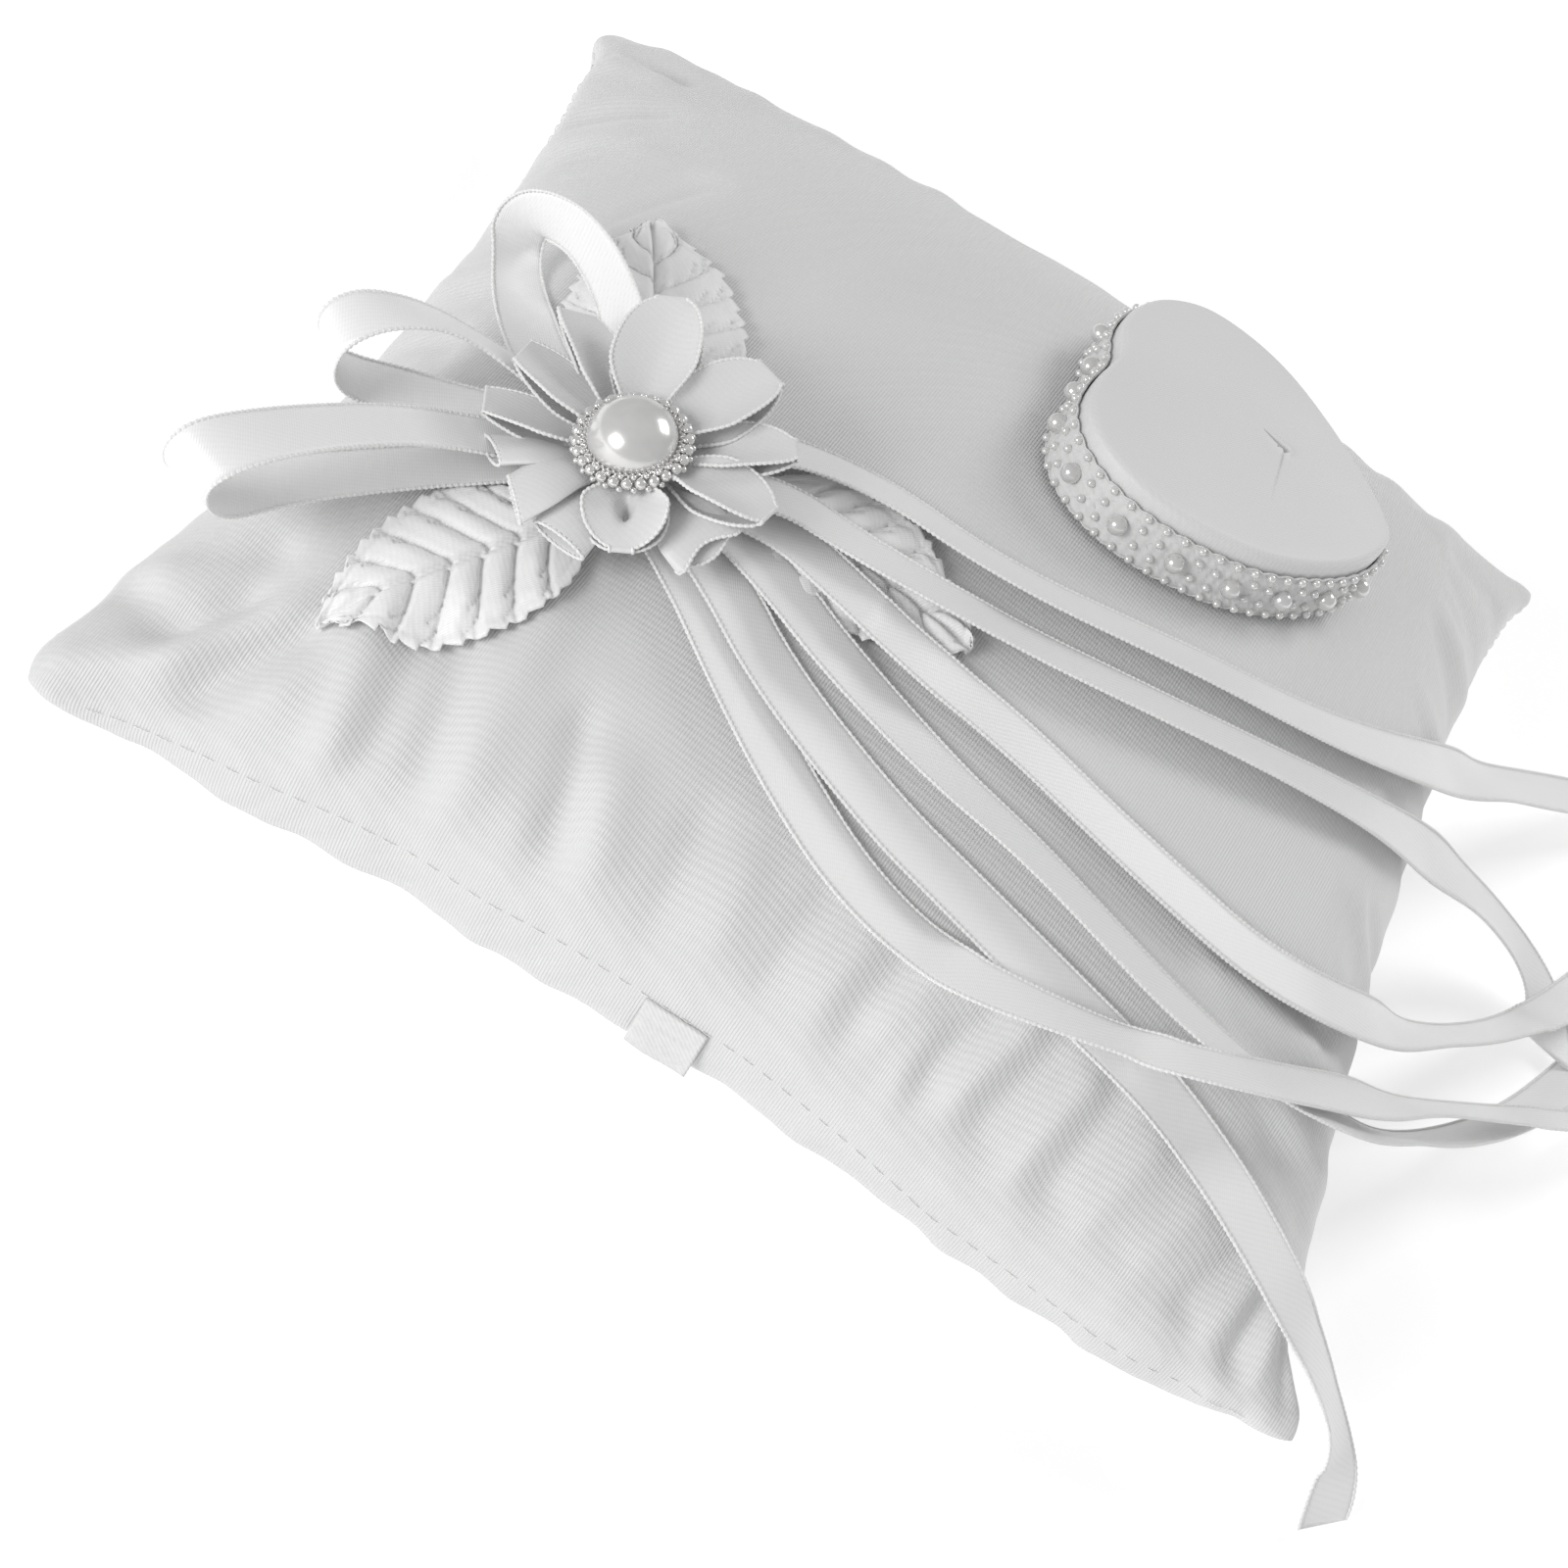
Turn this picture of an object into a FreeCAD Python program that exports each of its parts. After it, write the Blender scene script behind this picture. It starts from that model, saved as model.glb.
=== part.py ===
import FreeCAD, Part
import math
import os
import Sketcher
from FreeCAD import Placement, Rotation, Vector

# Ring bearer pillow: a 200 mm satin cushion lying on its back panel, with a
# heart-shaped ring pad at one quarter and a folded-ribbon flower with leaves,
# bow loops and streamers at the opposite quarter.
# +Z up, origin at the centre of the flat resting face, millimetres.

doc = FreeCAD.newDocument("RingBearerPillow")

# ------------------------------------------------------------------ sizes
sheet = doc.addObject("Spreadsheet::Sheet", "Sizes")
SIZES = [
    ("pillow_side", 200.0), ("side_pull", 6.5), ("seam_level", 20.0), ("crown_level", 60.0),
    ("belly_drop", 26.0), ("skin", 0.6), ("skin_gap", 0.3),
    ("pad_height", 12.3), ("cover_skin", 0.6), ("board_thick", 1.8), ("slit_long", 15.0), ("slit_wide", 1.0),
    ("tape_height", 9.4), ("tape_thick", 0.5), ("big_pearl", 4.0), ("small_bead", 1.7),
    ("ribbon_wide", 9.0), ("cord_thick", 2.4),
    ("backing_radius", 10.5), ("backing_thick", 1.0), ("binding_radius", 4.0), ("binding_high", 3.0),
    ("petal_inner", 4.5), ("petal_outer", 22.0), ("petal_arc", 8.6), ("petal_thick", 1.0),
    ("cabochon_radius", 6.4), ("cabochon_high", 5.2), ("cup_radius", 8.4), ("cup_high", 2.6),
    ("setting_bead", 1.9), ("setting_ring", 8.6),
    ("leaf_long", 46.0), ("leaf_half", 13.5), ("leaf_thick", 0.8),
    ("label_wide", 10.0), ("label_drop", 6.5), ("label_thick", 0.8),
    ("stitch_long", 2.2), ("stitch_thick", 0.5),
]
for row, (alias, value) in enumerate(SIZES, start=1):
    sheet.set("A%d" % row, alias)
    sheet.set("B%d" % row, "%g" % value)
    sheet.setAlias("B%d" % row, alias)
doc.recompute()


def size(alias):
    return float(getattr(sheet, alias))


NODES = []


def keep(obj, name):
    obj.Label = name
    NODES.append(obj)
    return obj


def feature(name, shape, placement=None):
    obj = doc.addObject("Part::Feature", "Shape_" + name)
    obj.Shape = shape
    if placement is not None:
        obj.Placement = placement
    return keep(obj, name)


# ------------------------------------------------------------------ pillow form
HALF = size("pillow_side") / 2.0
PULL = size("side_pull")
SEAM = size("seam_level")
CROWN = size("crown_level")


def side_at(t):
    """Half-width of the cushion at a distance t along a side from its middle."""
    return HALF - PULL * (1.0 - min(1.0, (t / HALF) ** 2))


def upper(x, y):
    """Height of the cushion's top over the plan point x, y."""
    u = min(1.0, abs(x) / side_at(y))
    v = min(1.0, abs(y) / side_at(x))
    return SEAM + (CROWN - SEAM) * math.sqrt(max(0.0, 1 - u ** 2.2)) * math.sqrt(max(0.0, 1 - v ** 2.2))


def plan_point(a, b, inset):
    """Plan point for grid parameters a, b in -1..1, inset from the seam line."""
    x = a * HALF
    y = b * HALF
    for _ in range(30):
        x = a * (side_at(y) - inset)
        y = b * (side_at(x) - inset)
    return x, y


def cushion_surface(inset, drop, upside):
    """Interpolated surface over the seam outline, lowered by drop at its middle."""
    count = 16
    rows = []
    for i in range(count + 1):
        a = -math.cos(math.pi * i / count)
        line = []
        for j in range(count + 1):
            b = -math.cos(math.pi * j / count)
            x, y = plan_point(a, b, inset)
            if i in (0, count) or j in (0, count):
                z = SEAM
            elif upside:
                shape = math.sqrt(max(0.0, 1 - abs(a) ** 2.2)) * math.sqrt(max(0.0, 1 - abs(b) ** 2.2))
                z = SEAM + (CROWN - SEAM - drop) * shape
            else:
                shape = math.sqrt(max(0.0, 1 - a ** 4)) * math.sqrt(max(0.0, 1 - b ** 4))
                z = SEAM - (size("belly_drop") - drop) * shape
            line.append(Vector(x, y, z))
        rows.append(line)
    if not upside:
        rows.reverse()
    surface = Part.BSplineSurface()
    surface.interpolate(rows)
    return surface.toShape()


def outline_wire(face):
    return Part.Wire(Part.__sortEdges__(face.OuterWire.Edges))


def closed_solid(faces):
    shell = Part.Shell(faces)
    if not shell.isClosed():
        sewn = Part.makeShell(faces)
        shell = sewn
    solid = Part.Solid(shell)
    if solid.Volume < 0:
        solid.reverse()
    return solid


def half_form(inset, drop, upside):
    """Solid between a cushion surface and the level seam plane."""
    top = cushion_surface(inset, drop, upside)
    base = Part.Face(outline_wire(top))
    return closed_solid([top, base])


SKIN = size("skin")
GAP = size("skin_gap")

# Front panel: thin satin skin over the crown, from seam to seam.
front_outer = half_form(0.0, 0.0, True)
front_inner = half_form(SKIN, SKIN, True)
front_shape = front_outer.cut(front_inner)
front = feature("front_panel", front_shape.Solids[0], Placement(Vector(0, 0, 0.1), Rotation()))

# Back panel: thin skin below the seam, cut flat where the cushion rests.
box_low = Part.makeBox(260, 260, 60, Vector(-130, -130, -60))
back_outer = half_form(0.0, 0.0, False).cut(box_low)
box_in = Part.makeBox(260, 260, 60, Vector(-130, -130, SKIN - 60))
back_inner = half_form(SKIN, SKIN, False).cut(box_in)
back_shape = back_outer.cut(back_inner)
back = feature("back_panel", back_shape.Solids[0], Placement(Vector(0, 0, 0), Rotation()))

# Fibre filling: one soft core inside both panels, short of the flat corners.
INSET = SKIN + GAP


def core_section(x):
    """Closed outline of the filling across the cushion at one x."""
    reach = (side_at(x) - INSET) * 0.985
    tops = []
    lows = []
    for k in range(13):
        y = -reach * math.cos(math.pi * k / 12)
        a = min(1.0, abs(x) / (side_at(y) - INSET))
        b = min(1.0, abs(y) / (side_at(x) - INSET))
        over = math.sqrt(max(0.0, 1 - a ** 2.2)) * math.sqrt(max(0.0, 1 - b ** 2.2))
        under = math.sqrt(max(0.0, 1 - a ** 4)) * math.sqrt(max(0.0, 1 - b ** 4))
        tops.append(Vector(x, y, SEAM + (CROWN - SEAM - INSET) * over))
        lows.append(Vector(x, y, max(INSET, SEAM - (size("belly_drop") - INSET) * under)))
    ring = tops + lows[::-1]
    return Part.makePolygon(ring + [ring[0]])


core_sections = [core_section(-91.0 * math.cos(math.pi * k / 14)) for k in range(15)]
filling = feature("fibre_filling", Part.makeLoft(core_sections, True, True))

# Seam stitches: short straight threads pulled across the edge seam.
stitches = []
long = size("stitch_long")
thick = size("stitch_thick")
step = 7.6
for side in range(4):
    turn = Rotation(Vector(0, 0, 1), 90.0 * side)
    for k in range(-12, 13):
        t = k * step
        bar = Part.makeBox(long, thick, thick, Vector(-long / 2, -thick / 2, -thick / 2))
        spot = turn.multVec(Vector(t, -(side_at(t) + thick * 0.5 + 0.35), SEAM + 0.05))
        bar.Placement = Placement(spot, turn)
        stitches.append(bar)
feature("edge_stitches", Part.makeCompound(stitches))


# ------------------------------------------------------------------ body helpers
def new_body(name):
    body = doc.addObject("PartDesign::Body", "Body_" + name)
    return keep(body, name)


def origin_plane(body, role):
    for item in body.Origin.OriginFeatures:
        if item.Role == role:
            return item
    raise RuntimeError("no plane " + role)


def new_sketch(body, name, role="XY_Plane"):
    sketch = body.newObject("Sketcher::SketchObject", name)
    sketch.AttachmentSupport = [(origin_plane(body, role), "")]
    sketch.MapMode = "FlatFace"
    return sketch


def spline_loop(sketch, points):
    curve = Part.BSplineCurve()
    curve.interpolate(Points=[Vector(p[0], p[1], 0) for p in points], PeriodicFlag=True)
    sketch.addGeometry(curve, False)


def offset_loop(points, distance):
    """Points moved outwards by distance along the normal of the closed line."""
    moved = []
    count = len(points)
    for i in range(count):
        ax, ay = points[i - 1]
        bx, by = points[(i + 1) % count]
        tx, ty = bx - ax, by - ay
        n = math.hypot(tx, ty)
        moved.append((points[i][0] + distance * ty / n * WIND, points[i][1] - distance * tx / n * WIND))
    return moved


# ------------------------------------------------------------------ ring pad
HEART = [
    (28.0, 1.5), (26.0, 7.5), (20.3, 14.0), (12.0, 21.3), (3.0, 27.0), (-6.0, 29.2), (-14.5, 28.0),
    (-21.0, 22.5), (-24.6, 15.0), (-25.3, 7.5), (-23.8, -0.5), (-25.0, -9.0), (-24.9, -17.0),
    (-21.8, -24.0), (-15.0, -28.6), (-6.5, -29.6), (2.5, -27.6), (11.0, -23.6), (19.0, -16.4), (25.3, -7.5),
]
area = sum(HEART[i - 1][0] * HEART[i][1] - HEART[i][0] * HEART[i - 1][1] for i in range(len(HEART)))
WIND = 1.0 if area > 0 else -1.0

PAD_NORMAL = Vector(0.10, 0.085, 1.0).normalize()
PAD_X = (Vector(1, 0, 0) - PAD_NORMAL * PAD_NORMAL.x).normalize()
PAD_Y = PAD_NORMAL.cross(PAD_X)
PAD_TOP = Vector(31.0, 24.0, 69.3)
pad_matrix = FreeCAD.Matrix(
    PAD_X.x, PAD_Y.x, PAD_NORMAL.x, 0, PAD_X.y, PAD_Y.y, PAD_NORMAL.y, 0,
    PAD_X.z, PAD_Y.z, PAD_NORMAL.z, 0, 0, 0, 0, 1)
PAD_TURN = Placement(pad_matrix).Rotation
PAD_BASE = PAD_TOP - PAD_NORMAL * size("pad_height")
PAD_PLACE = Placement(PAD_BASE, PAD_TURN)


def pad_piece(name, loop, low, high_expression, high_value):
    body = new_body(name)
    sketch = new_sketch(body, "Outline_" + name)
    spline_loop(sketch, loop)
    if low:
        sketch.AttachmentOffset = Placement(Vector(0, 0, low), Rotation())
    pad = body.newObject("PartDesign::Pad", "Pad_" + name)
    pad.Profile = sketch
    pad.Length = high_value
    pad.setExpression("Length", high_expression)
    sketch.Visibility = False
    doc.recompute()
    return body


def cut_rectangle(body, name, cx, cy, wide_alias, long_alias, depth):
    sketch = new_sketch(body, "Cut_" + name)
    w = size(wide_alias) / 2
    l = size(long_alias) / 2
    corners = [Vector(cx - w, cy - l, 0), Vector(cx + w, cy - l, 0), Vector(cx + w, cy + l, 0), Vector(cx - w, cy + l, 0)]
    for i in range(4):
        sketch.addGeometry(Part.LineSegment(corners[i], corners[(i + 1) % 4]), False)
    for i in range(4):
        sketch.addConstraint(Sketcher.Constraint("Coincident", i, 2, (i + 1) % 4, 1))
    sketch.addConstraint(Sketcher.Constraint("Horizontal", 0))
    sketch.addConstraint(Sketcher.Constraint("Horizontal", 2))
    sketch.addConstraint(Sketcher.Constraint("Vertical", 1))
    sketch.addConstraint(Sketcher.Constraint("Vertical", 3))
    sketch.addConstraint(Sketcher.Constraint("DistanceX", -1, 1, 0, 1, cx - w))
    sketch.addConstraint(Sketcher.Constraint("DistanceY", -1, 1, 0, 1, cy - l))
    a = sketch.addConstraint(Sketcher.Constraint("DistanceX", 0, 1, 0, 2, 2 * w))
    b = sketch.addConstraint(Sketcher.Constraint("DistanceY", 1, 1, 1, 2, 2 * l))
    sketch.setExpression("Constraints[%d]" % a, "Sizes." + wide_alias)
    sketch.setExpression("Constraints[%d]" % b, "Sizes." + long_alias)
    pocket = body.newObject("PartDesign::Pocket", "Pocket_" + name)
    pocket.Profile = sketch
    pocket.Length = depth
    pocket.Midplane = True
    sketch.Visibility = False
    doc.recompute()
    return pocket


cover = pad_piece("ring_pad_cover", HEART, 0.0, "Sizes.pad_height", size("pad_height"))
hollow = new_sketch(cover, "Inside_ring_pad_cover")
spline_loop(hollow, offset_loop(HEART, -size("cover_skin")))
room = cover.newObject("PartDesign::Pocket", "Room_ring_pad_cover")
room.Profile = hollow
room.Midplane = True
room.Length = 2 * (size("pad_height") - size("cover_skin"))
room.setExpression("Length", "2 * (Sizes.pad_height - Sizes.cover_skin)")
hollow.Visibility = False
doc.recompute()
cut_rectangle(cover, "slit_cover", 6.6, -2.8, "slit_wide", "slit_long", 60.0)
cover.Placement = PAD_PLACE

INNER = offset_loop(HEART, -(size("cover_skin") + 0.25))
board = pad_piece("ring_pad_board", INNER, 0.0, "Sizes.board_thick", size("board_thick"))
board.Placement = PAD_PLACE

foam = pad_piece("ring_pad_foam", INNER, size("board_thick") + 0.2,
                 "Sizes.pad_height - Sizes.cover_skin - Sizes.board_thick - 0.45", 9.0)
cut_rectangle(foam, "slit_foam", 6.6, -2.8, "slit_wide", "slit_long", 60.0)
foam.Placement = PAD_PLACE

# Trim: a bead tape round the wall of the pad.
tape = new_body("trim_tape")
ring = new_sketch(tape, "Ring_trim_tape")
spline_loop(ring, offset_loop(HEART, 0.3 + size("tape_thick")))
spline_loop(ring, offset_loop(HEART, 0.3))
band = tape.newObject("PartDesign::Pad", "Pad_trim_tape")
band.Profile = ring
band.Length = size("tape_height")
band.setExpression("Length", "Sizes.tape_height")
ring.Visibility = False
doc.recompute()
tape.Placement = PAD_PLACE


def along_loop(points, offset, spacing_wanted, shift=0.0):
    """Evenly spaced points and outward normals along the closed spline."""
    curve = Part.BSplineCurve()
    curve.interpolate(Points=[Vector(p[0], p[1], 0) for p in offset_loop(points, offset)], PeriodicFlag=True)
    edge = curve.toShape()
    count = max(3, int(round(edge.Length / spacing_wanted)))
    spots = []
    for k in range(count):
        u = edge.getParameterByLength(((k + shift) % count) * edge.Length / count)
        spots.append(edge.valueAt(u))
    return spots


big = size("big_pearl")
small = size("small_bead")
tape_out = 0.3 + size("tape_thick")
pearls = []
for spot in along_loop(HEART, tape_out + big * 0.5 - 0.6, 11.0):
    local = Vector(spot.x, spot.y, size("tape_height") * 0.5)
    pearls.append(Part.makeSphere(big / 2, PAD_PLACE.multVec(local)))
feature("trim_large_pearls", Part.makeCompound(pearls))
beads = []
for level in (0.9, size("tape_height") - 0.9):
    for spot in along_loop(HEART, tape_out + small * 0.5 + 0.05, 3.3):
        local = Vector(spot.x, spot.y, level)
        beads.append(Part.makeSphere(small / 2, PAD_PLACE.multVec(local)))
feature("trim_small_beads", Part.makeCompound(beads))

# ------------------------------------------------------------------ loop label on the near seam
label = new_body("loop_label")
sketch = new_sketch(label, "Outline_loop_label")
w = size("label_wide") / 2
corners = [Vector(-w, -1, 0), Vector(w, -1, 0), Vector(w, 0, 0), Vector(-w, 0, 0)]
for i in range(4):
    sketch.addGeometry(Part.LineSegment(corners[i], corners[(i + 1) % 4]), False)
for i in range(4):
    sketch.addConstraint(Sketcher.Constraint("Coincident", i, 2, (i + 1) % 4, 1))
sketch.addConstraint(Sketcher.Constraint("Horizontal", 0))
sketch.addConstraint(Sketcher.Constraint("Horizontal", 2))
sketch.addConstraint(Sketcher.Constraint("Vertical", 1))
sketch.addConstraint(Sketcher.Constraint("Vertical", 3))
sketch.addConstraint(Sketcher.Constraint("Symmetric", 2, 1, 2, 2, -1, 1))
c1 = sketch.addConstraint(Sketcher.Constraint("DistanceX", 0, 1, 0, 2, 2 * w))
c2 = sketch.addConstraint(Sketcher.Constraint("DistanceY", 1, 1, 1, 2, 1.0))
sketch.setExpression("Constraints[%d]" % c1, "Sizes.label_wide")
sketch.setExpression("Constraints[%d]" % c2, "Sizes.label_thick")
flap = label.newObject("PartDesign::Pad", "Pad_loop_label")
flap.Profile = sketch
flap.Length = size("label_drop")
flap.setExpression("Length", "Sizes.label_drop")
sketch.Visibility = False
doc.recompute()
label.Placement = Placement(Vector(-0.8, -(side_at(0) + 0.35), SEAM - 1.6 - size("label_drop")), Rotation())

# ------------------------------------------------------------------ flower
FLOWER = Vector(-43.0, -45.0, upper(-43.0, -45.0))
AXIS = Vector(-0.30, -0.26, 1.0).normalize()
FX = (Vector(1, 0, 0) - AXIS * AXIS.x).normalize()
FY = AXIS.cross(FX)
flower_matrix = FreeCAD.Matrix(
    FX.x, FY.x, AXIS.x, 0, FX.y, FY.y, AXIS.y, 0, FX.z, FY.z, AXIS.z, 0, 0, 0, 0, 1)
TURN = Placement(flower_matrix).Rotation


def on_flower(level, spin=0.0, lean=0.0, roll=0.0):
    """Placement at a height above the cushion on the flower's axis, spun, leaned up and rolled."""
    local = Rotation(Vector(0, 0, 1), spin) * Rotation(Vector(0, 1, 0), -lean) * Rotation(Vector(1, 0, 0), roll)
    return Placement(FLOWER + AXIS * level, TURN * local)


binding = doc.addObject("Part::Cylinder", "Binding")
binding.Radius = 4.0
binding.Height = 3.0
binding.setExpression("Radius", "Sizes.binding_radius")
binding.setExpression("Height", "Sizes.binding_high")
binding.Placement = on_flower(4.3)
keep(binding, "ribbon_binding")

backing = doc.addObject("Part::Cylinder", "Backing")
backing.Radius = 10.5
backing.Height = 1.0
backing.setExpression("Radius", "Sizes.backing_radius")
backing.setExpression("Height", "Sizes.backing_thick")
backing.Placement = on_flower(7.5)
keep(backing, "flower_backing")


def petal(name, spin, level, lean, roll, reach=0.0):
    body = new_body(name)
    sketch = new_sketch(body, "Outline_" + name)
    a = size("petal_inner")
    b = size("petal_outer") + reach
    radius = size("petal_arc") + reach * 0.5
    half = radius - math.sqrt(max(0.01, radius ** 2 - ((b - a) / 2) ** 2)) if radius > (b - a) / 2 else (b - a) / 2 * 0.62
    mid = (a + b) / 2
    half = 5.2
    sketch.addGeometry(Part.Arc(Vector(a, 0, 0), Vector(mid, half, 0), Vector(b, 0, 0)), False)
    sketch.addGeometry(Part.Arc(Vector(b, 0, 0), Vector(mid, -half, 0), Vector(a, 0, 0)), False)
    pad = body.newObject("PartDesign::Pad", "Pad_" + name)
    pad.Profile = sketch
    pad.Length = 1.0
    pad.setExpression("Length", "Sizes.petal_thick")
    sketch.Visibility = False
    doc.recompute()
    body.Placement = on_flower(level, spin, lean, roll)
    return body


# Six upper and six lower folded petals; each leans up and rolls so that it clears the next.
UPPER_PETALS = [109, 52, -3, -66, -126, 168]
LOWER_PETALS = [140, 82, 26, -34, -96, -158]
number = 1
for spin in UPPER_PETALS:
    petal("petal_%02d" % number, spin, 10.8, 9.0, 6.0, 1.2)
    number += 1
for spin in LOWER_PETALS:
    petal("petal_%02d" % number, spin, 9.0, 3.0, 4.0, -0.5)
    number += 1

# Setting: fluted cup, ring of beads and the pearl cabochon.
cup = new_body("setting_cup")
profile = new_sketch(cup, "Profile_setting_cup", "XZ_Plane")
r = size("cup_radius")
hgt = size("cup_high")
cup_points = [Vector(0, 0, 0), Vector(r * 0.72, 0, 0), Vector(r, hgt, 0), Vector(r - 0.8, hgt, 0), Vector(r * 0.66, 0.9, 0), Vector(0, 0.9, 0)]
for i in range(6):
    profile.addGeometry(Part.LineSegment(cup_points[i], cup_points[(i + 1) % 6]), False)
for i in range(6):
    profile.addConstraint(Sketcher.Constraint("Coincident", i, 2, (i + 1) % 6, 1))
turned = cup.newObject("PartDesign::Revolution", "Turn_setting_cup")
turned.Profile = profile
turned.ReferenceAxis = (profile, ["V_Axis"])
turned.Angle = 360.0
profile.Visibility = False
doc.recompute()
cup.Placement = on_flower(13.3)

stone = new_body("pearl_cabochon")
dome = new_sketch(stone, "Profile_pearl_cabochon", "XZ_Plane")
cr = size("cabochon_radius")
ch = size("cabochon_high")
dome.addGeometry(Part.LineSegment(Vector(0, 0, 0), Vector(cr * 0.86, 0, 0)), False)
dome.addGeometry(Part.Arc(Vector(cr * 0.86, 0, 0), Vector(cr * 0.86, ch * 0.66, 0), Vector(0.8, ch, 0)), False)
dome.addGeometry(Part.LineSegment(Vector(0.8, ch, 0), Vector(0, ch, 0)), False)
dome.addGeometry(Part.LineSegment(Vector(0, ch, 0), Vector(0, 0, 0)), False)
for i in range(4):
    dome.addConstraint(Sketcher.Constraint("Coincident", i, 2, (i + 1) % 4, 1))
spun = stone.newObject("PartDesign::Revolution", "Turn_pearl_cabochon")
spun.Profile = dome
spun.ReferenceAxis = (dome, ["V_Axis"])
spun.Angle = 360.0
dome.Visibility = False
doc.recompute()
stone.Placement = on_flower(14.5)

ringed = []
bead = size("setting_bead")
ring_radius = size("setting_ring")
count = 28
for k in range(count):
    angle = 2 * math.pi * k / count
    local = FX * (ring_radius * math.cos(angle)) + FY * (ring_radius * math.sin(angle))
    ringed.append(Part.makeSphere(bead / 2, FLOWER + AXIS * (13.3 + hgt + bead / 2 + 0.05) + local))
feature("setting_beads", Part.makeCompound(ringed))


# ------------------------------------------------------------------ leaves
def leaf(name, base, tip, lift_base, lift_tip):
    """Thin leaf that follows the cushion's curve from base to tip."""
    along = Vector(tip[0] - base[0], tip[1] - base[1], 0)
    reach = along.Length
    along.normalize()
    across = Vector(-along.y, along.x, 0)
    half = size("leaf_half")
    thickness = size("leaf_thick")
    sections = []
    steps = 10
    for k in range(steps + 1):
        f = 0.02 + 0.96 * k / steps
        wide = half * math.sin(math.pi * f ** 0.85) ** 0.75 + 0.25
        lift = lift_base + (lift_tip - lift_base) * f
        ring_low = []
        ring_high = []
        for g in (-1.0, -0.5, 0.0, 0.5, 1.0):
            x = base[0] + along.x * reach * f + across.x * wide * g
            y = base[1] + along.y * reach * f + across.y * wide * g
            z = upper(x, y) + lift
            ring_low.append(Vector(x, y, z))
            ring_high.append(Vector(x, y, z + thickness))
        sections.append(Part.makePolygon(ring_low + ring_high[::-1] + [ring_low[0]]))
    solid = Part.makeLoft(sections, True, True)
    return feature(name, solid)


leaf("leaf_left", (-47.5, -52.0), (-69.8, -82.5), 0.9, 0.9)
leaf("leaf_top", (-48.0, -36.0), (-65.0, 14.5), 0.9, 0.9)
leaf("leaf_right", (-33.0, -38.5), (7.5, -41.0), 0.9, 0.5)

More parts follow.
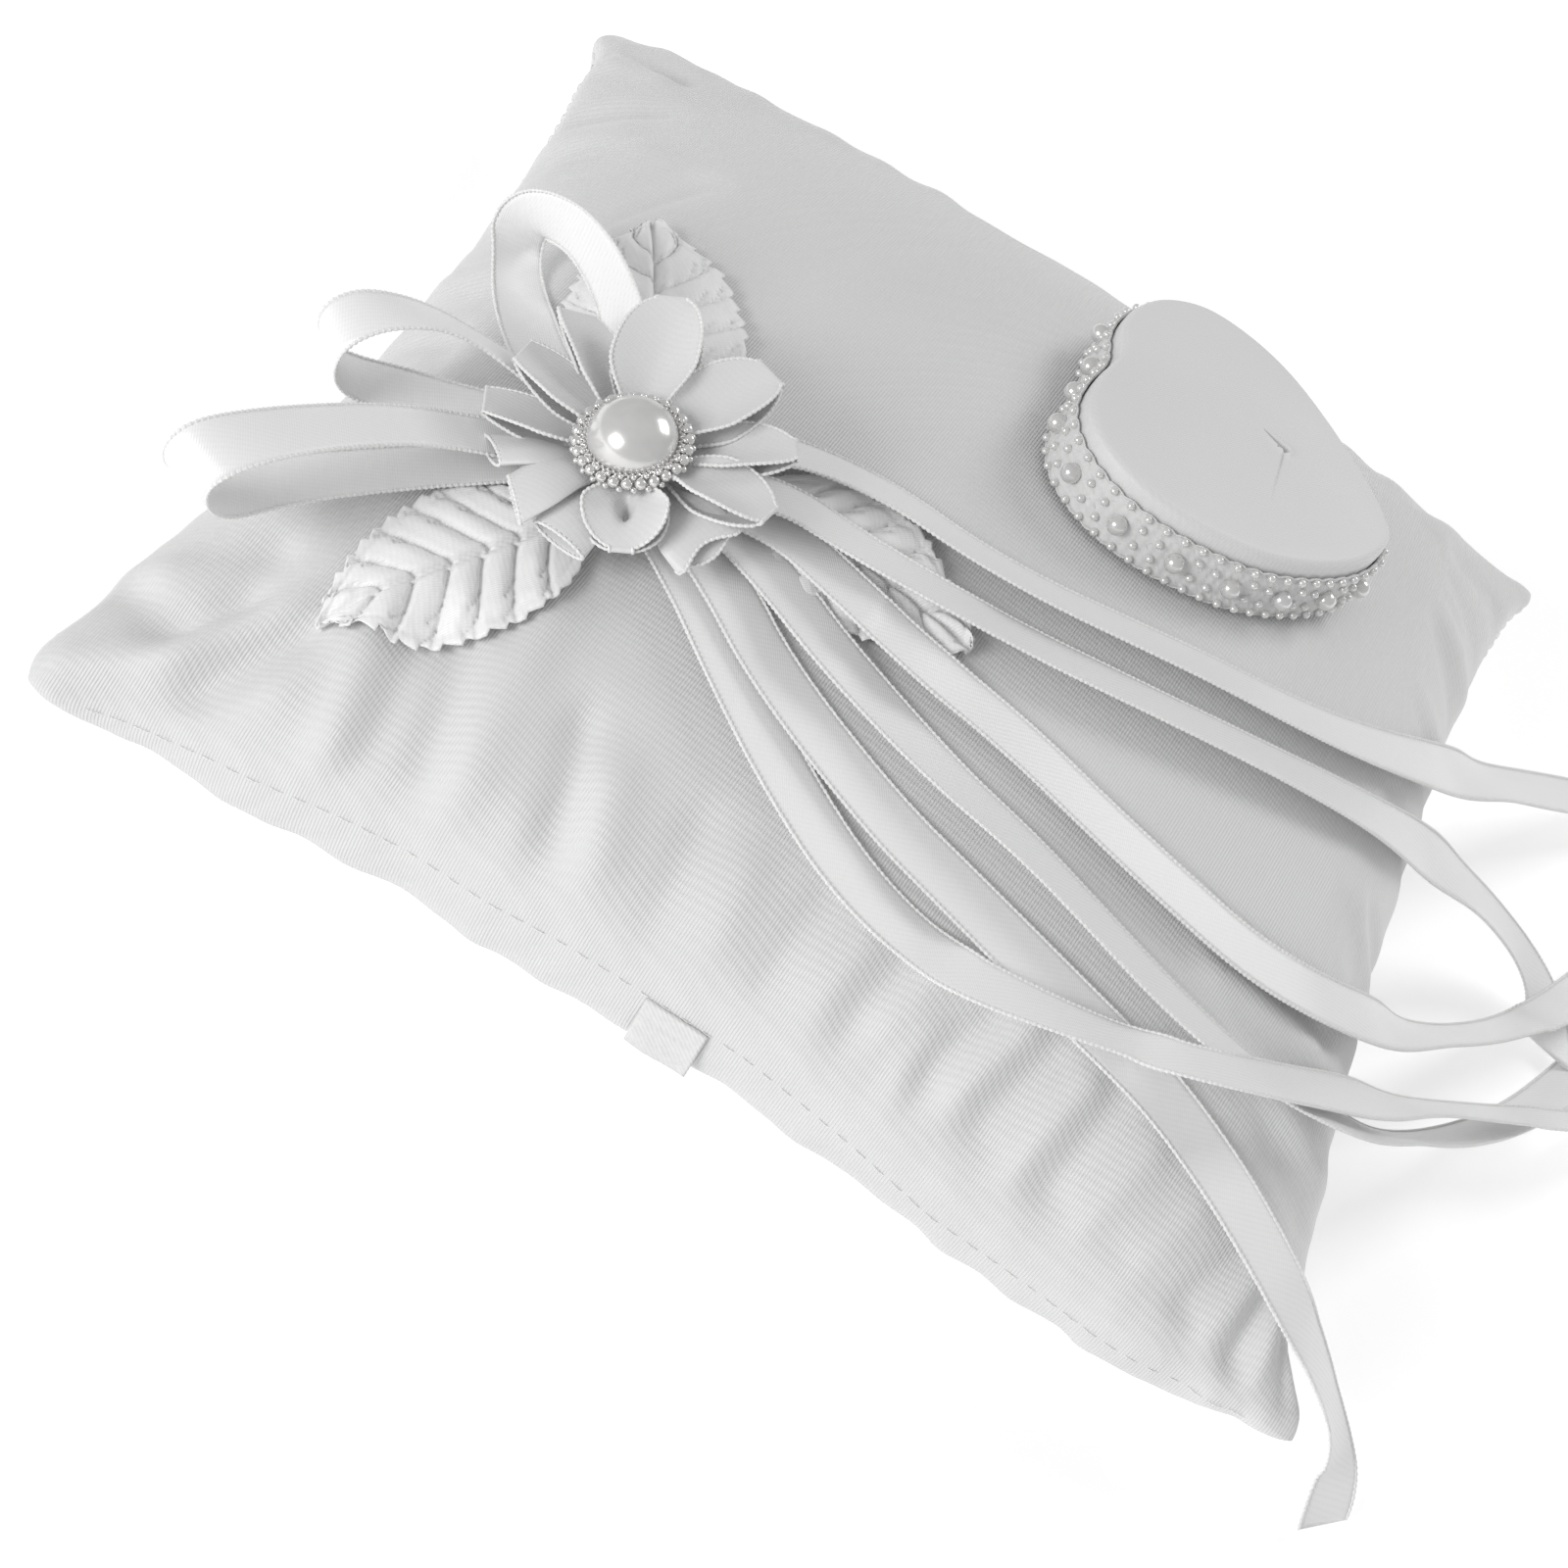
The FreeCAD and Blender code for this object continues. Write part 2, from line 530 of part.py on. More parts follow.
# ------------------------------------------------------------------ ribbons
# Points of each ribbon's centre line. A flat ribbon is kept as a plain round
# cord of the same section area, which follows the line in straight runs
# joined by tangent arcs.
ROUTES = {
    "streamer_1": [
        (-30.9, -53.5, 53.9), (-19.5, -62.4, 51.9), (-5.6, -71.6, 48.3), (9.9, -78.5, 44.1),
        (26.1, -81.3, 41.9), (43.0, -79.0, 42.6), (59.8, -74.8, 42.6), (76.1, -66.3, 40.8),
        (94.5, -48.6, 30.5), (113.7, -26.4, 17.0), (133.2, -5.3, 6.0), (147.3, 6.4, 1.8),
    ],
    "streamer_2": [
        (-27.0, -51.1, 54.9), (-13.6, -60.5, 52.8), (8.8, -69.4, 49.3), (23.5, -72.6, 47.3),
        (38.2, -75.5, 44.9), (50.3, -77.5, 42.7), (61.5, -79.2, 40.4), (73.2, -82.4, 36.7),
        (83.8, -86.1, 32.5), (93.0, -90.0, 28.5), (103.4, -89.7, 19.0), (111.0, -90.5, 10.5),
        (114.8, -93.8, 5.0), (115.4, -99.0, 1.8),
    ],
    "streamer_3": [
        (-20.6, -46.9, 56.4), (-8.2, -52.8, 55.4), (12.9, -59.7, 53.1), (29.0, -62.3, 51.4),
        (43.3, -65.4, 48.7), (57.8, -68.0, 45.5), (71.2, -67.9, 42.2), (83.7, -64.2, 38.0),
        (97.1, -50.9, 27.0), (110.8, -34.8, 16.0), (124.7, -14.6, 7.5), (135.2, 4.8, 3.0),
        (144.1, 25.9, 1.8),
    ],
    "streamer_4": [
        (-24.9, -38.7, 58.7), (-11.0, -42.8, 58.3), (4.8, -46.6, 57.0), (20.7, -49.0, 55.9),
        (35.7, -52.0, 53.8), (50.6, -53.7, 51.0), (64.9, -53.6, 47.3), (77.1, -48.5, 42.5),
        (89.7, -37.6, 34.0), (103.0, -20.8, 22.0), (115.3, -4.1, 13.0), (127.5, 14.9, 6.0),
        (138.1, 34.9, 2.4), (145.7, 53.2, 1.8),
    ],
    "streamer_5": [
        (-27.0, -35.4, 60.6), (-13.7, -35.9, 60.2), (0.9, -35.0, 59.8), (17.1, -33.1, 59.1),
        (31.4, -30.0, 58.2), (45.5, -25.8, 56.3), (58.6, -20.5, 53.2), (72.9, -12.4, 47.5),
        (87.9, 1.1, 36.0), (103.3, 15.3, 22.5), (115.2, 22.5, 13.0), (124.0, 23.8, 7.0),
        (130.1, 20.4, 3.2), (133.1, 13.2, 1.8),
    ],
    "streamer_6": [
        (-31.0, -28.5, 61.4), (-21.7, -25.2, 61.7), (-10.6, -24.2, 62.0), (1.6, -24.8, 61.3),
        (14.8, -23.0, 60.3), (28.5, -19.7, 59.5), (42.6, -15.1, 57.6), (56.9, -9.4, 54.1),
        (71.0, 0.2, 48.5), (86.7, 19.2, 37.0), (103.6, 43.8, 22.0), (120.8, 65.6, 11.0),
        (136.6, 82.2, 3.6), (149.5, 90.2, 1.8),
    ],
    "bow_loop_1": [
        (-53.9, -41.7, 52.9), (-61.2, -47.6, 50.3), (-71.1, -54.9, 47.3), (-81.3, -65.1, 46.0),
        (-87.7, -72.1, 44.5), (-91.2, -79.6, 45.5), (-93.3, -84.8, 49.5), (-94.1, -87.1, 54.5),
        (-92.5, -86.4, 59.0), (-88.9, -81.2, 60.5), (-82.7, -70.5, 59.0), (-75.4, -58.7, 56.0),
        (-66.8, -49.5, 53.3), (-57.5, -45.6, 54.2),
    ],
    "bow_loop_2": [
        (-55.6, -37.0, 53.3), (-62.2, -39.6, 51.5), (-71.5, -42.6, 49.8), (-79.7, -44.7, 48.5),
        (-85.6, -47.6, 48.5), (-89.3, -51.1, 51.5), (-90.7, -53.5, 56.5), (-89.9, -52.5, 61.0),
        (-86.1, -48.7, 63.5), (-79.4, -42.0, 62.0), (-69.8, -36.8, 57.5), (-58.7, -36.7, 56.0),
    ],
    "bow_loop_3": [
        (-52.1, -34.5, 58.3), (-54.9, -27.7, 60.2), (-60.5, -20.5, 61.0), (-67.7, -14.3, 61.5),
        (-74.2, -9.4, 60.5), (-80.2, -3.4, 57.0), (-84.2, -1.2, 52.8), (-84.8, -3.6, 48.4),
        (-81.2, -9.4, 46.3), (-74.0, -18.0, 47.4), (-64.5, -28.7, 50.8), (-55.6, -34.0, 53.2),
    ],
}


def cord(name, points):
    pts = [Vector(*p) for p in points]
    edges = []
    radii = []
    start = pts[0]
    for i in range(1, len(pts) - 1):
        before = pts[i] - pts[i - 1]
        after = pts[i + 1] - pts[i]
        shorter = min(before.Length, after.Length)
        u = Vector(before).normalize()
        v = Vector(after).normalize()
        turn = u.getAngle(v)
        trim = 0.45 * shorter
        radius = trim / math.tan(turn / 2)
        radii.append(round(radius, 1))
        a = pts[i] - u * trim
        b = pts[i] + v * trim
        inward = (v - u).normalize()
        centre = pts[i] + inward * (radius / math.cos(turn / 2))
        middle = centre - inward * radius
        edges.append(Part.LineSegment(start, a).toShape())
        edges.append(Part.Arc(a, middle, b).toShape())
        start = b
    edges.append(Part.LineSegment(start, pts[-1]).toShape())
    path = Part.Wire(edges)
    first = (pts[1] - pts[0]).normalize()
    section = Part.Wire([Part.makeCircle(size("cord_thick") / 2, pts[0], first)])
    tube = path.makePipeShell([section], True, False)
    if tube.Volume < 0:
        tube.reverse()
    expected = math.pi * (size("cord_thick") / 2) ** 2 * path.Length
    print("cord", name, "length", round(path.Length, 1), "volume ratio", round(tube.Volume / expected, 4), "radii", radii)
    return feature(name, tube)


for name, points in ROUTES.items():
    cord(name, points)

# ------------------------------------------------------------------ checks and files
doc.recompute()
os.makedirs("parts", exist_ok=True)
names = set()
for obj in NODES:
    state = list(obj.State)
    if "Invalid" in state or "Error" in state:
        raise RuntimeError(obj.Label + " is in state " + str(state))
    shape = obj.Shape
    if shape.isNull() or not shape.isValid():
        raise RuntimeError(obj.Label + " has a null or invalid shape")
    if not shape.Solids:
        raise RuntimeError(obj.Label + " has no solid")
    if obj.Label in names:
        raise RuntimeError("two parts are named " + obj.Label)
    names.add(obj.Label)
    shape.exportStep("parts/" + obj.Label + ".step")
    box = shape.BoundBox
    print(obj.Label, "solids", len(shape.Solids), "volume", round(shape.Volume, 1),
          "box", [round(v, 1) for v in (box.XMin, box.YMin, box.ZMin, box.XMax, box.YMax, box.ZMax)])
print("parts", len(NODES))
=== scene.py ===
import math

import bpy
import numpy as np
from mathutils import Matrix, Vector


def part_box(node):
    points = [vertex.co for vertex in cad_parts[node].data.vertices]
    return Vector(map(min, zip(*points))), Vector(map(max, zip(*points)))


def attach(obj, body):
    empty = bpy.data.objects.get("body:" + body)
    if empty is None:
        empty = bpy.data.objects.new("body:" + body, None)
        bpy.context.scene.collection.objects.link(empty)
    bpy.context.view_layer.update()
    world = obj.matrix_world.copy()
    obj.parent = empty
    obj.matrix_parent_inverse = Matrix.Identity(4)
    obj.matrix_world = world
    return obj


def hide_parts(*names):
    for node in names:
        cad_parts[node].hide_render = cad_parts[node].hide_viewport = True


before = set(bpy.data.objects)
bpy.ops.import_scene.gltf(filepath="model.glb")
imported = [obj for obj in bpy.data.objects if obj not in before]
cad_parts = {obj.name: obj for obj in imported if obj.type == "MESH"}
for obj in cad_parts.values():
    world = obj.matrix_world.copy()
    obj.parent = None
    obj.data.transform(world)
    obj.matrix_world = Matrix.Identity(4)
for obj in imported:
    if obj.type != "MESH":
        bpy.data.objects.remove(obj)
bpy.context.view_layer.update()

MM = 0.001
rng = np.random.default_rng(7)

# ---------------------------------------------------------------- cushion form, in millimetres
HALF, PULL, SEAM, CROWN, BELLY = 100.0, 6.5, 20.0, 60.0, 26.0


def side_at(t):
    return HALF - PULL * (1.0 - np.minimum(1.0, (np.asarray(t, float) / HALF) ** 2))


def upper(x, y):
    x = np.asarray(x, float)
    y = np.asarray(y, float)
    u = np.minimum(1.0, np.abs(x) / side_at(y))
    v = np.minimum(1.0, np.abs(y) / side_at(x))
    return SEAM + (CROWN - SEAM) * np.sqrt(np.maximum(0, 1 - u ** 2.2)) * np.sqrt(np.maximum(0, 1 - v ** 2.2))


def upper_normal(x, y):
    e = 0.5
    dx = (upper(x + e, y) - upper(x - e, y)) / (2 * e)
    dy = (upper(x, y + e) - upper(x, y - e)) / (2 * e)
    n = np.stack([-dx, -dy, np.ones_like(dx)], -1)
    return n / np.linalg.norm(n, axis=-1, keepdims=True)


# ---------------------------------------------------------------- small helpers
def link(obj):
    bpy.context.scene.collection.objects.link(obj)
    return obj


def mesh_object(name, verts, faces, materials=(), face_slots=None, smooth=True):
    mesh = bpy.data.meshes.new(name)
    mesh.from_pydata((np.asarray(verts, float) * MM).tolist(), [], [tuple(int(i) for i in f) for f in faces])
    for material in materials:
        mesh.materials.append(material)
    if face_slots is not None:
        mesh.polygons.foreach_set("material_index", np.asarray(face_slots, np.int32))
    if smooth:
        mesh.polygons.foreach_set("use_smooth", [True] * len(mesh.polygons))
    mesh.update()
    return link(bpy.data.objects.new(name, mesh))


def grid_faces(rows, cols, base=0, wrap_rows=False, wrap_cols=False, flip=False):
    faces = []
    for i in range(rows if wrap_rows else rows - 1):
        for j in range(cols if wrap_cols else cols - 1):
            a = base + i * cols + j
            b = base + ((i + 1) % rows) * cols + j
            c = base + ((i + 1) % rows) * cols + (j + 1) % cols
            d = base + i * cols + (j + 1) % cols
            faces.append((a, d, c, b) if flip else (a, b, c, d))
    return faces


class Build:
    """Collects vertices, faces and material slots of one piece."""

    def __init__(self):
        self.verts, self.faces, self.slots, self.count = [], [], [], 0

    def add(self, verts, faces, slot=0):
        verts = np.asarray(verts, float).reshape(-1, 3)
        self.verts.append(verts)
        base = self.count
        self.faces.extend([tuple(i + base for i in f) for f in faces])
        self.slots.extend([slot] * len(faces))
        self.count += len(verts)
        return base

    def make(self, name, materials, smooth=True):
        verts = np.concatenate(self.verts)
        verts[:, 2] = np.maximum(verts[:, 2], 0.04)
        return mesh_object(name, verts, self.faces, materials, self.slots, smooth)


def unit(v):
    v = np.asarray(v, float)
    n = np.linalg.norm(v, axis=-1, keepdims=True)
    return v / np.maximum(n, 1e-9)


def resample(points, step, closed=False):
    """Even steps along a dense line."""
    p = np.asarray(points, float)
    if closed:
        p = np.vstack([p, p[:1]])
    s = np.concatenate([[0], np.cumsum(np.linalg.norm(np.diff(p, axis=0), axis=1))])
    n = max(2, int(round(s[-1] / step)))
    t = np.linspace(0, s[-1], n + 1)
    out = np.stack([np.interp(t, s, p[:, k]) for k in range(3)], 1)
    return (out[:-1], t[:-1]) if closed else (out, t)


def bead_line(build, points, pitch=1.0, low=0.16, high=0.36, slot=1, closed=False, sides=5, step=None):
    """A fine cord of little knots, as along the woven edge of a ribbon."""
    p, t = resample(points, step or pitch / 4.0, closed)
    if closed:
        tangent = unit(np.roll(p, -1, 0) - np.roll(p, 1, 0))
    else:
        tangent = unit(np.gradient(p, axis=0))
    ref = np.tile(np.array([0.31, 0.17, 0.93]), (len(p), 1))
    a = unit(np.cross(tangent, ref))
    b = np.cross(tangent, a)
    radius = low + (high - low) * np.abs(np.sin(math.pi * t / pitch)) ** 0.8
    if not closed:
        radius[0] = radius[-1] = low * 0.4
    rows = []
    for k in range(sides):
        w = 2 * math.pi * k / sides
        rows.append(p + (a * math.cos(w) + b * math.sin(w)) * radius[:, None])
    ring = np.stack(rows, 1).reshape(-1, 3)
    faces = grid_faces(len(p), sides, wrap_rows=closed, wrap_cols=True)
    if not closed:
        last = (len(p) - 1) * sides
        faces.append(tuple(range(sides))[::-1])
        faces.append(tuple(last + k for k in range(sides)))
    build.add(ring, faces, slot)


def sphere(build, centre, radius, slot=0, segments=16, rings=10, axis=None, squash=1.0):
    verts = []
    for i in range(1, rings):
        th = math.pi * i / rings
        for j in range(segments):
            ph = 2 * math.pi * j / segments
            verts.append((math.sin(th) * math.cos(ph), math.sin(th) * math.sin(ph), math.cos(th) * squash))
    verts.append((0, 0, squash))
    verts.append((0, 0, -squash))
    v = np.array(verts) * radius
    if axis is not None:
        z = unit(axis)
        x = unit(np.cross([0.3, 0.9, 0.1], z))
        y = np.cross(z, x)
        v = v[:, :1] * x + v[:, 1:2] * y + v[:, 2:] * z
    faces = []
    for i in range(rings - 2):
        for j in range(segments):
            a = i * segments + j
            b = i * segments + (j + 1) % segments
            faces.append((a, a + segments, b + segments, b))
    top = (rings - 1) * segments
    for j in range(segments):
        faces.append((top, j, (j + 1) % segments))
        k = (rings - 2) * segments
        faces.append((top + 1, k + (j + 1) % segments, k + j))
    build.add(v + np.asarray(centre, float), faces, slot)


# ---------------------------------------------------------------- materials
def new_material(name):
    mat = bpy.data.materials.new(name)
    mat.use_nodes = True
    nt = mat.node_tree
    bsdf = nt.nodes["Principled BSDF"]
    return mat, nt, bsdf


def node(nt, kind, **values):
    n = nt.nodes.new(kind)
    for key, value in values.items():
        if key in n.inputs:
            n.inputs[key].default_value = value
        else:
            setattr(n, key, value)
    return n


def satin(name, tone=0.83, roughness=0.42, weave=0.42, angle=0.0, strength=0.35, cloud=0.018, sheen=0.25, coarse=0.0):
    """White satin: fine floats along one direction crossed by a shorter weft, with slight tone drift."""
    mat, nt, bsdf = new_material(name)
    links = nt.links
    coord = node(nt, "ShaderNodeTexCoord")
    mapping = node(nt, "ShaderNodeMapping")
    mapping.inputs["Rotation"].default_value = (0, 0, angle)
    links.new(coord.outputs["Object"], mapping.inputs["Vector"])
    warp = node(nt, "ShaderNodeTexWave", Scale=314.0 / weave / 1.0, Distortion=0.6)
    warp.bands_direction = "X"
    warp.inputs["Detail"].default_value = 1.0
    weft = node(nt, "ShaderNodeTexWave", Scale=314.0 / weave / 2.2, Distortion=0.9)
    weft.bands_direction = "Y"
    weft.inputs["Detail"].default_value = 1.0
    grain = node(nt, "ShaderNodeTexNoise", Scale=1800.0, Detail=2.0)
    drift = node(nt, "ShaderNodeTexNoise", Scale=22.0, Detail=3.0)
    for n in (warp, weft, grain, drift):
        links.new(mapping.outputs["Vector"], n.inputs["Vector"])
    mix = node(nt, "ShaderNodeMath", operation="MULTIPLY_ADD")
    mix.inputs[1].default_value = 0.55
    links.new(weft.outputs["Fac"], mix.inputs[0])
    links.new(warp.outputs["Fac"], mix.inputs[2])
    add = node(nt, "ShaderNodeMath", operation="MULTIPLY_ADD")
    add.inputs[1].default_value = 0.5
    links.new(grain.outputs["Fac"], add.inputs[0])
    links.new(mix.outputs[0], add.inputs[2])
    bump = node(nt, "ShaderNodeBump", Strength=strength, Distance=0.00008)
    links.new(add.outputs[0], bump.inputs["Height"])
    links.new(bump.outputs["Normal"], bsdf.inputs["Normal"])
    ramp = node(nt, "ShaderNodeMapRange")
    ramp.inputs["From Min"].default_value = 0.3
    ramp.inputs["From Max"].default_value = 0.7
    ramp.inputs["To Min"].default_value = tone - cloud
    ramp.inputs["To Max"].default_value = tone + cloud
    links.new(drift.outputs["Fac"], ramp.inputs["Value"])
    thread = node(nt, "ShaderNodeMath", operation="MULTIPLY_ADD")
    thread.inputs[1].default_value = 0.03
    links.new(mix.outputs[0], thread.inputs[0])
    links.new(ramp.outputs["Result"], thread.inputs[2])
    colour = node(nt, "ShaderNodeCombineColor")
    for ch in ("Red", "Green", "Blue"):
        links.new(thread.outputs[0], colour.inputs[ch])
    links.new(colour.outputs["Color"], bsdf.inputs["Base Color"])
    rough = node(nt, "ShaderNodeMapRange")
    rough.inputs["To Min"].default_value = roughness - 0.05
    rough.inputs["To Max"].default_value = roughness + 0.08
    links.new(add.outputs[0], rough.inputs["Value"])
    links.new(rough.outputs["Result"], bsdf.inputs["Roughness"])
    bsdf.inputs["Sheen Weight"].default_value = sheen
    bsdf.inputs["Sheen Roughness"].default_value = 0.4
    bsdf.inputs["Specular IOR Level"].default_value = 0.45
    return mat


def beadwork(name, tone=0.86, roughness=0.22, coat=0.6, metal=0.0, spec=0.6, coat_rough=0.03):
    """Pearl or plated bead: slight swirl in tone, fine unevenness, clear coat."""
    mat, nt, bsdf = new_material(name)
    links = nt.links
    coord = node(nt, "ShaderNodeTexCoord")
    swirl = node(nt, "ShaderNodeTexNoise", Scale=420.0, Detail=2.0)
    fine = node(nt, "ShaderNodeTexNoise", Scale=2600.0, Detail=2.0)
    for n in (swirl, fine):
        links.new(coord.outputs["Object"], n.inputs["Vector"])
    ramp = node(nt, "ShaderNodeValToRGB")
    ramp.color_ramp.elements[0].position = 0.35
    ramp.color_ramp.elements[0].color = (tone * 0.95, tone * 0.94, tone * 0.935, 1)
    ramp.color_ramp.elements[1].position = 0.7
    ramp.color_ramp.elements[1].color = (tone, tone * 0.995, tone * 0.985, 1)
    links.new(swirl.outputs["Fac"], ramp.inputs["Fac"])
    links.new(ramp.outputs["Color"], bsdf.inputs["Base Color"])
    bump = node(nt, "ShaderNodeBump", Strength=0.06, Distance=0.00005)
    links.new(fine.outputs["Fac"], bump.inputs["Height"])
    links.new(bump.outputs["Normal"], bsdf.inputs["Normal"])
    bsdf.inputs["Roughness"].default_value = roughness
    bsdf.inputs["Metallic"].default_value = metal
    bsdf.inputs["Coat Weight"].default_value = coat
    bsdf.inputs["Coat Roughness"].default_value = coat_rough
    bsdf.inputs["Specular IOR Level"].default_value = spec
    return mat


def thread_stuff(name, tone=0.84, scale=900.0, strength=0.5):
    """Sewing thread, felt or net: matt, twisted or matted fibres."""
    mat, nt, bsdf = new_material(name)
    links = nt.links
    coord = node(nt, "ShaderNodeTexCoord")
    fibre = node(nt, "ShaderNodeTexNoise", Scale=scale, Detail=3.0)
    twist = node(nt, "ShaderNodeTexWave", Scale=scale * 0.6, Distortion=2.0)
    twist.bands_direction = "DIAGONAL"
    for n in (fibre, twist):
        links.new(coord.outputs["Object"], n.inputs["Vector"])
    ramp = node(nt, "ShaderNodeValToRGB")
    ramp.color_ramp.elements[0].position = 0.3
    ramp.color_ramp.elements[0].color = (tone * 0.93, tone * 0.93, tone * 0.925, 1)
    ramp.color_ramp.elements[1].position = 0.7
    ramp.color_ramp.elements[1].color = (tone, tone, tone * 0.997, 1)
    links.new(fibre.outputs["Fac"], ramp.inputs["Fac"])
    links.new(ramp.outputs["Color"], bsdf.inputs["Base Color"])
    add = node(nt, "ShaderNodeMath", operation="ADD")
    links.new(fibre.outputs["Fac"], add.inputs[0])
    links.new(twist.outputs["Fac"], add.inputs[1])
    bump = node(nt, "ShaderNodeBump", Strength=strength, Distance=0.0001)
    links.new(add.outputs[0], bump.inputs["Height"])
    links.new(bump.outputs["Normal"], bsdf.inputs["Normal"])
    bsdf.inputs["Roughness"].default_value = 0.7
    bsdf.inputs["Sheen Weight"].default_value = 0.2
    return mat


M_PILLOW = satin("pillow_satin", tone=0.70, roughness=0.38, weave=0.46, angle=0.1, strength=0.8)
M_PAD = satin("pad_satin", tone=0.70, roughness=0.46, weave=0.36, angle=0.5, strength=0.22)
# painted light: the streamers and bow loops are the same white satin as the cushion and petals (tone about 0.70), given
# tone 0.85 so that they, and their shaded lower strands, come out brighter than the lamps make them
M_RIBBON_PAINTED_LIGHT = satin("ribbon_satin", tone=0.85, roughness=0.28, weave=0.34, angle=-0.5, strength=0.25, sheen=0.15)
M_PETAL = satin("petal_satin", tone=0.71, roughness=0.30, weave=0.34, angle=0.3, strength=0.25, sheen=0.15)
# painted light: the leaves are the same white satin as the cushion (tone about 0.70), given tone 0.86 so that they come
# out brighter than the lamps make them
M_LEAF_PAINTED_LIGHT = satin("leaf_satin", tone=0.86, roughness=0.33, weave=0.34, angle=0.9, strength=0.35, sheen=0.15)
M_EDGE = thread_stuff("picot_edge", tone=0.88, scale=1500.0, strength=0.4)
M_THREAD = thread_stuff("sewing_thread", tone=0.86, scale=1200.0, strength=0.6)
M_NET = thread_stuff("net_tape", tone=0.72, scale=700.0, strength=0.6)
M_FELT = thread_stuff("felt", tone=0.80, scale=600.0, strength=0.8)
M_CARD = thread_stuff("card", tone=0.74, scale=300.0, strength=0.3)
M_LABEL = thread_stuff("label_tape", tone=0.76, scale=1100.0, strength=0.5)
M_PEARL = beadwork("pearl", tone=0.74, roughness=0.22, coat=0.8, metal=0.5, spec=0.8, coat_rough=0.10)
M_SMALL = beadwork("small_pearl", tone=0.78, roughness=0.12, coat=1.0, metal=0.4, spec=0.8)
M_SILVER = beadwork("silver_bead", tone=0.80, roughness=0.16, coat=0.4, metal=0.75)

# ---------------------------------------------------------------- camera
CAM_R = (0.85770238, 0.33839291, 0.38708767)
CAM_U = (-0.51310555, 0.61125022, 0.60257436)
CAM_B = (-0.03270053, -0.7154463, 0.69790205)
CAM_C = (-0.01851669472, -0.37032870895, 0.3380921769)
cam_data = bpy.data.cameras.new("camera")
cam_data.sensor_width = 36.0
cam_data.lens = 69.8367
cam_data.clip_start = 0.02
camera = link(bpy.data.objects.new("camera", cam_data))
camera.matrix_world = Matrix((
    (CAM_R[0], CAM_U[0], CAM_B[0], CAM_C[0]),
    (CAM_R[1], CAM_U[1], CAM_B[1], CAM_C[1]),
    (CAM_R[2], CAM_U[2], CAM_B[2], CAM_C[2]),
    (0, 0, 0, 1)))
bpy.context.scene.camera = camera

# ---------------------------------------------------------------- pillow cover
PAD_C = np.array([31.0, 24.0, 69.3])
PAD_N = np.array([0.09915, 0.08428, 0.99150])
PAD_X = np.array([0.99507, -0.00840, -0.09879])
PAD_Y = np.array([0.0, 0.99641, -0.08469])
PAD_HIGH = 12.3

HEART = [(28.0, 1.5), (26.0, 7.5), (20.3, 14.0), (12.0, 21.3), (3.0, 27.0), (-6.0, 29.2), (-14.5, 28.0),
         (-21.0, 22.5), (-24.6, 15.0), (-25.3, 7.5), (-23.8, -0.5), (-25.0, -9.0), (-24.9, -17.0),
         (-21.8, -24.0), (-15.0, -28.6), (-6.5, -29.6), (2.5, -27.6), (11.0, -23.6), (19.0, -16.4), (25.3, -7.5)]


def closed_spline(points, per=24):
    """Smooth closed line through the given points (Catmull-Rom)."""
    p = np.asarray(points, float)
    n = len(p)
    out = []
    for i in range(n):
        a, b, c, d = p[(i - 1) % n], p[i], p[(i + 1) % n], p[(i + 2) % n]
        for k in range(per):
            t = k / per
            out.append(0.5 * ((2 * b) + (c - a) * t + (2 * a - 5 * b + 4 * c - d) * t * t + (3 * b - a - 3 * c + d) * t ** 3))
    return np.array(out)


OUTLINE = closed_spline(HEART)

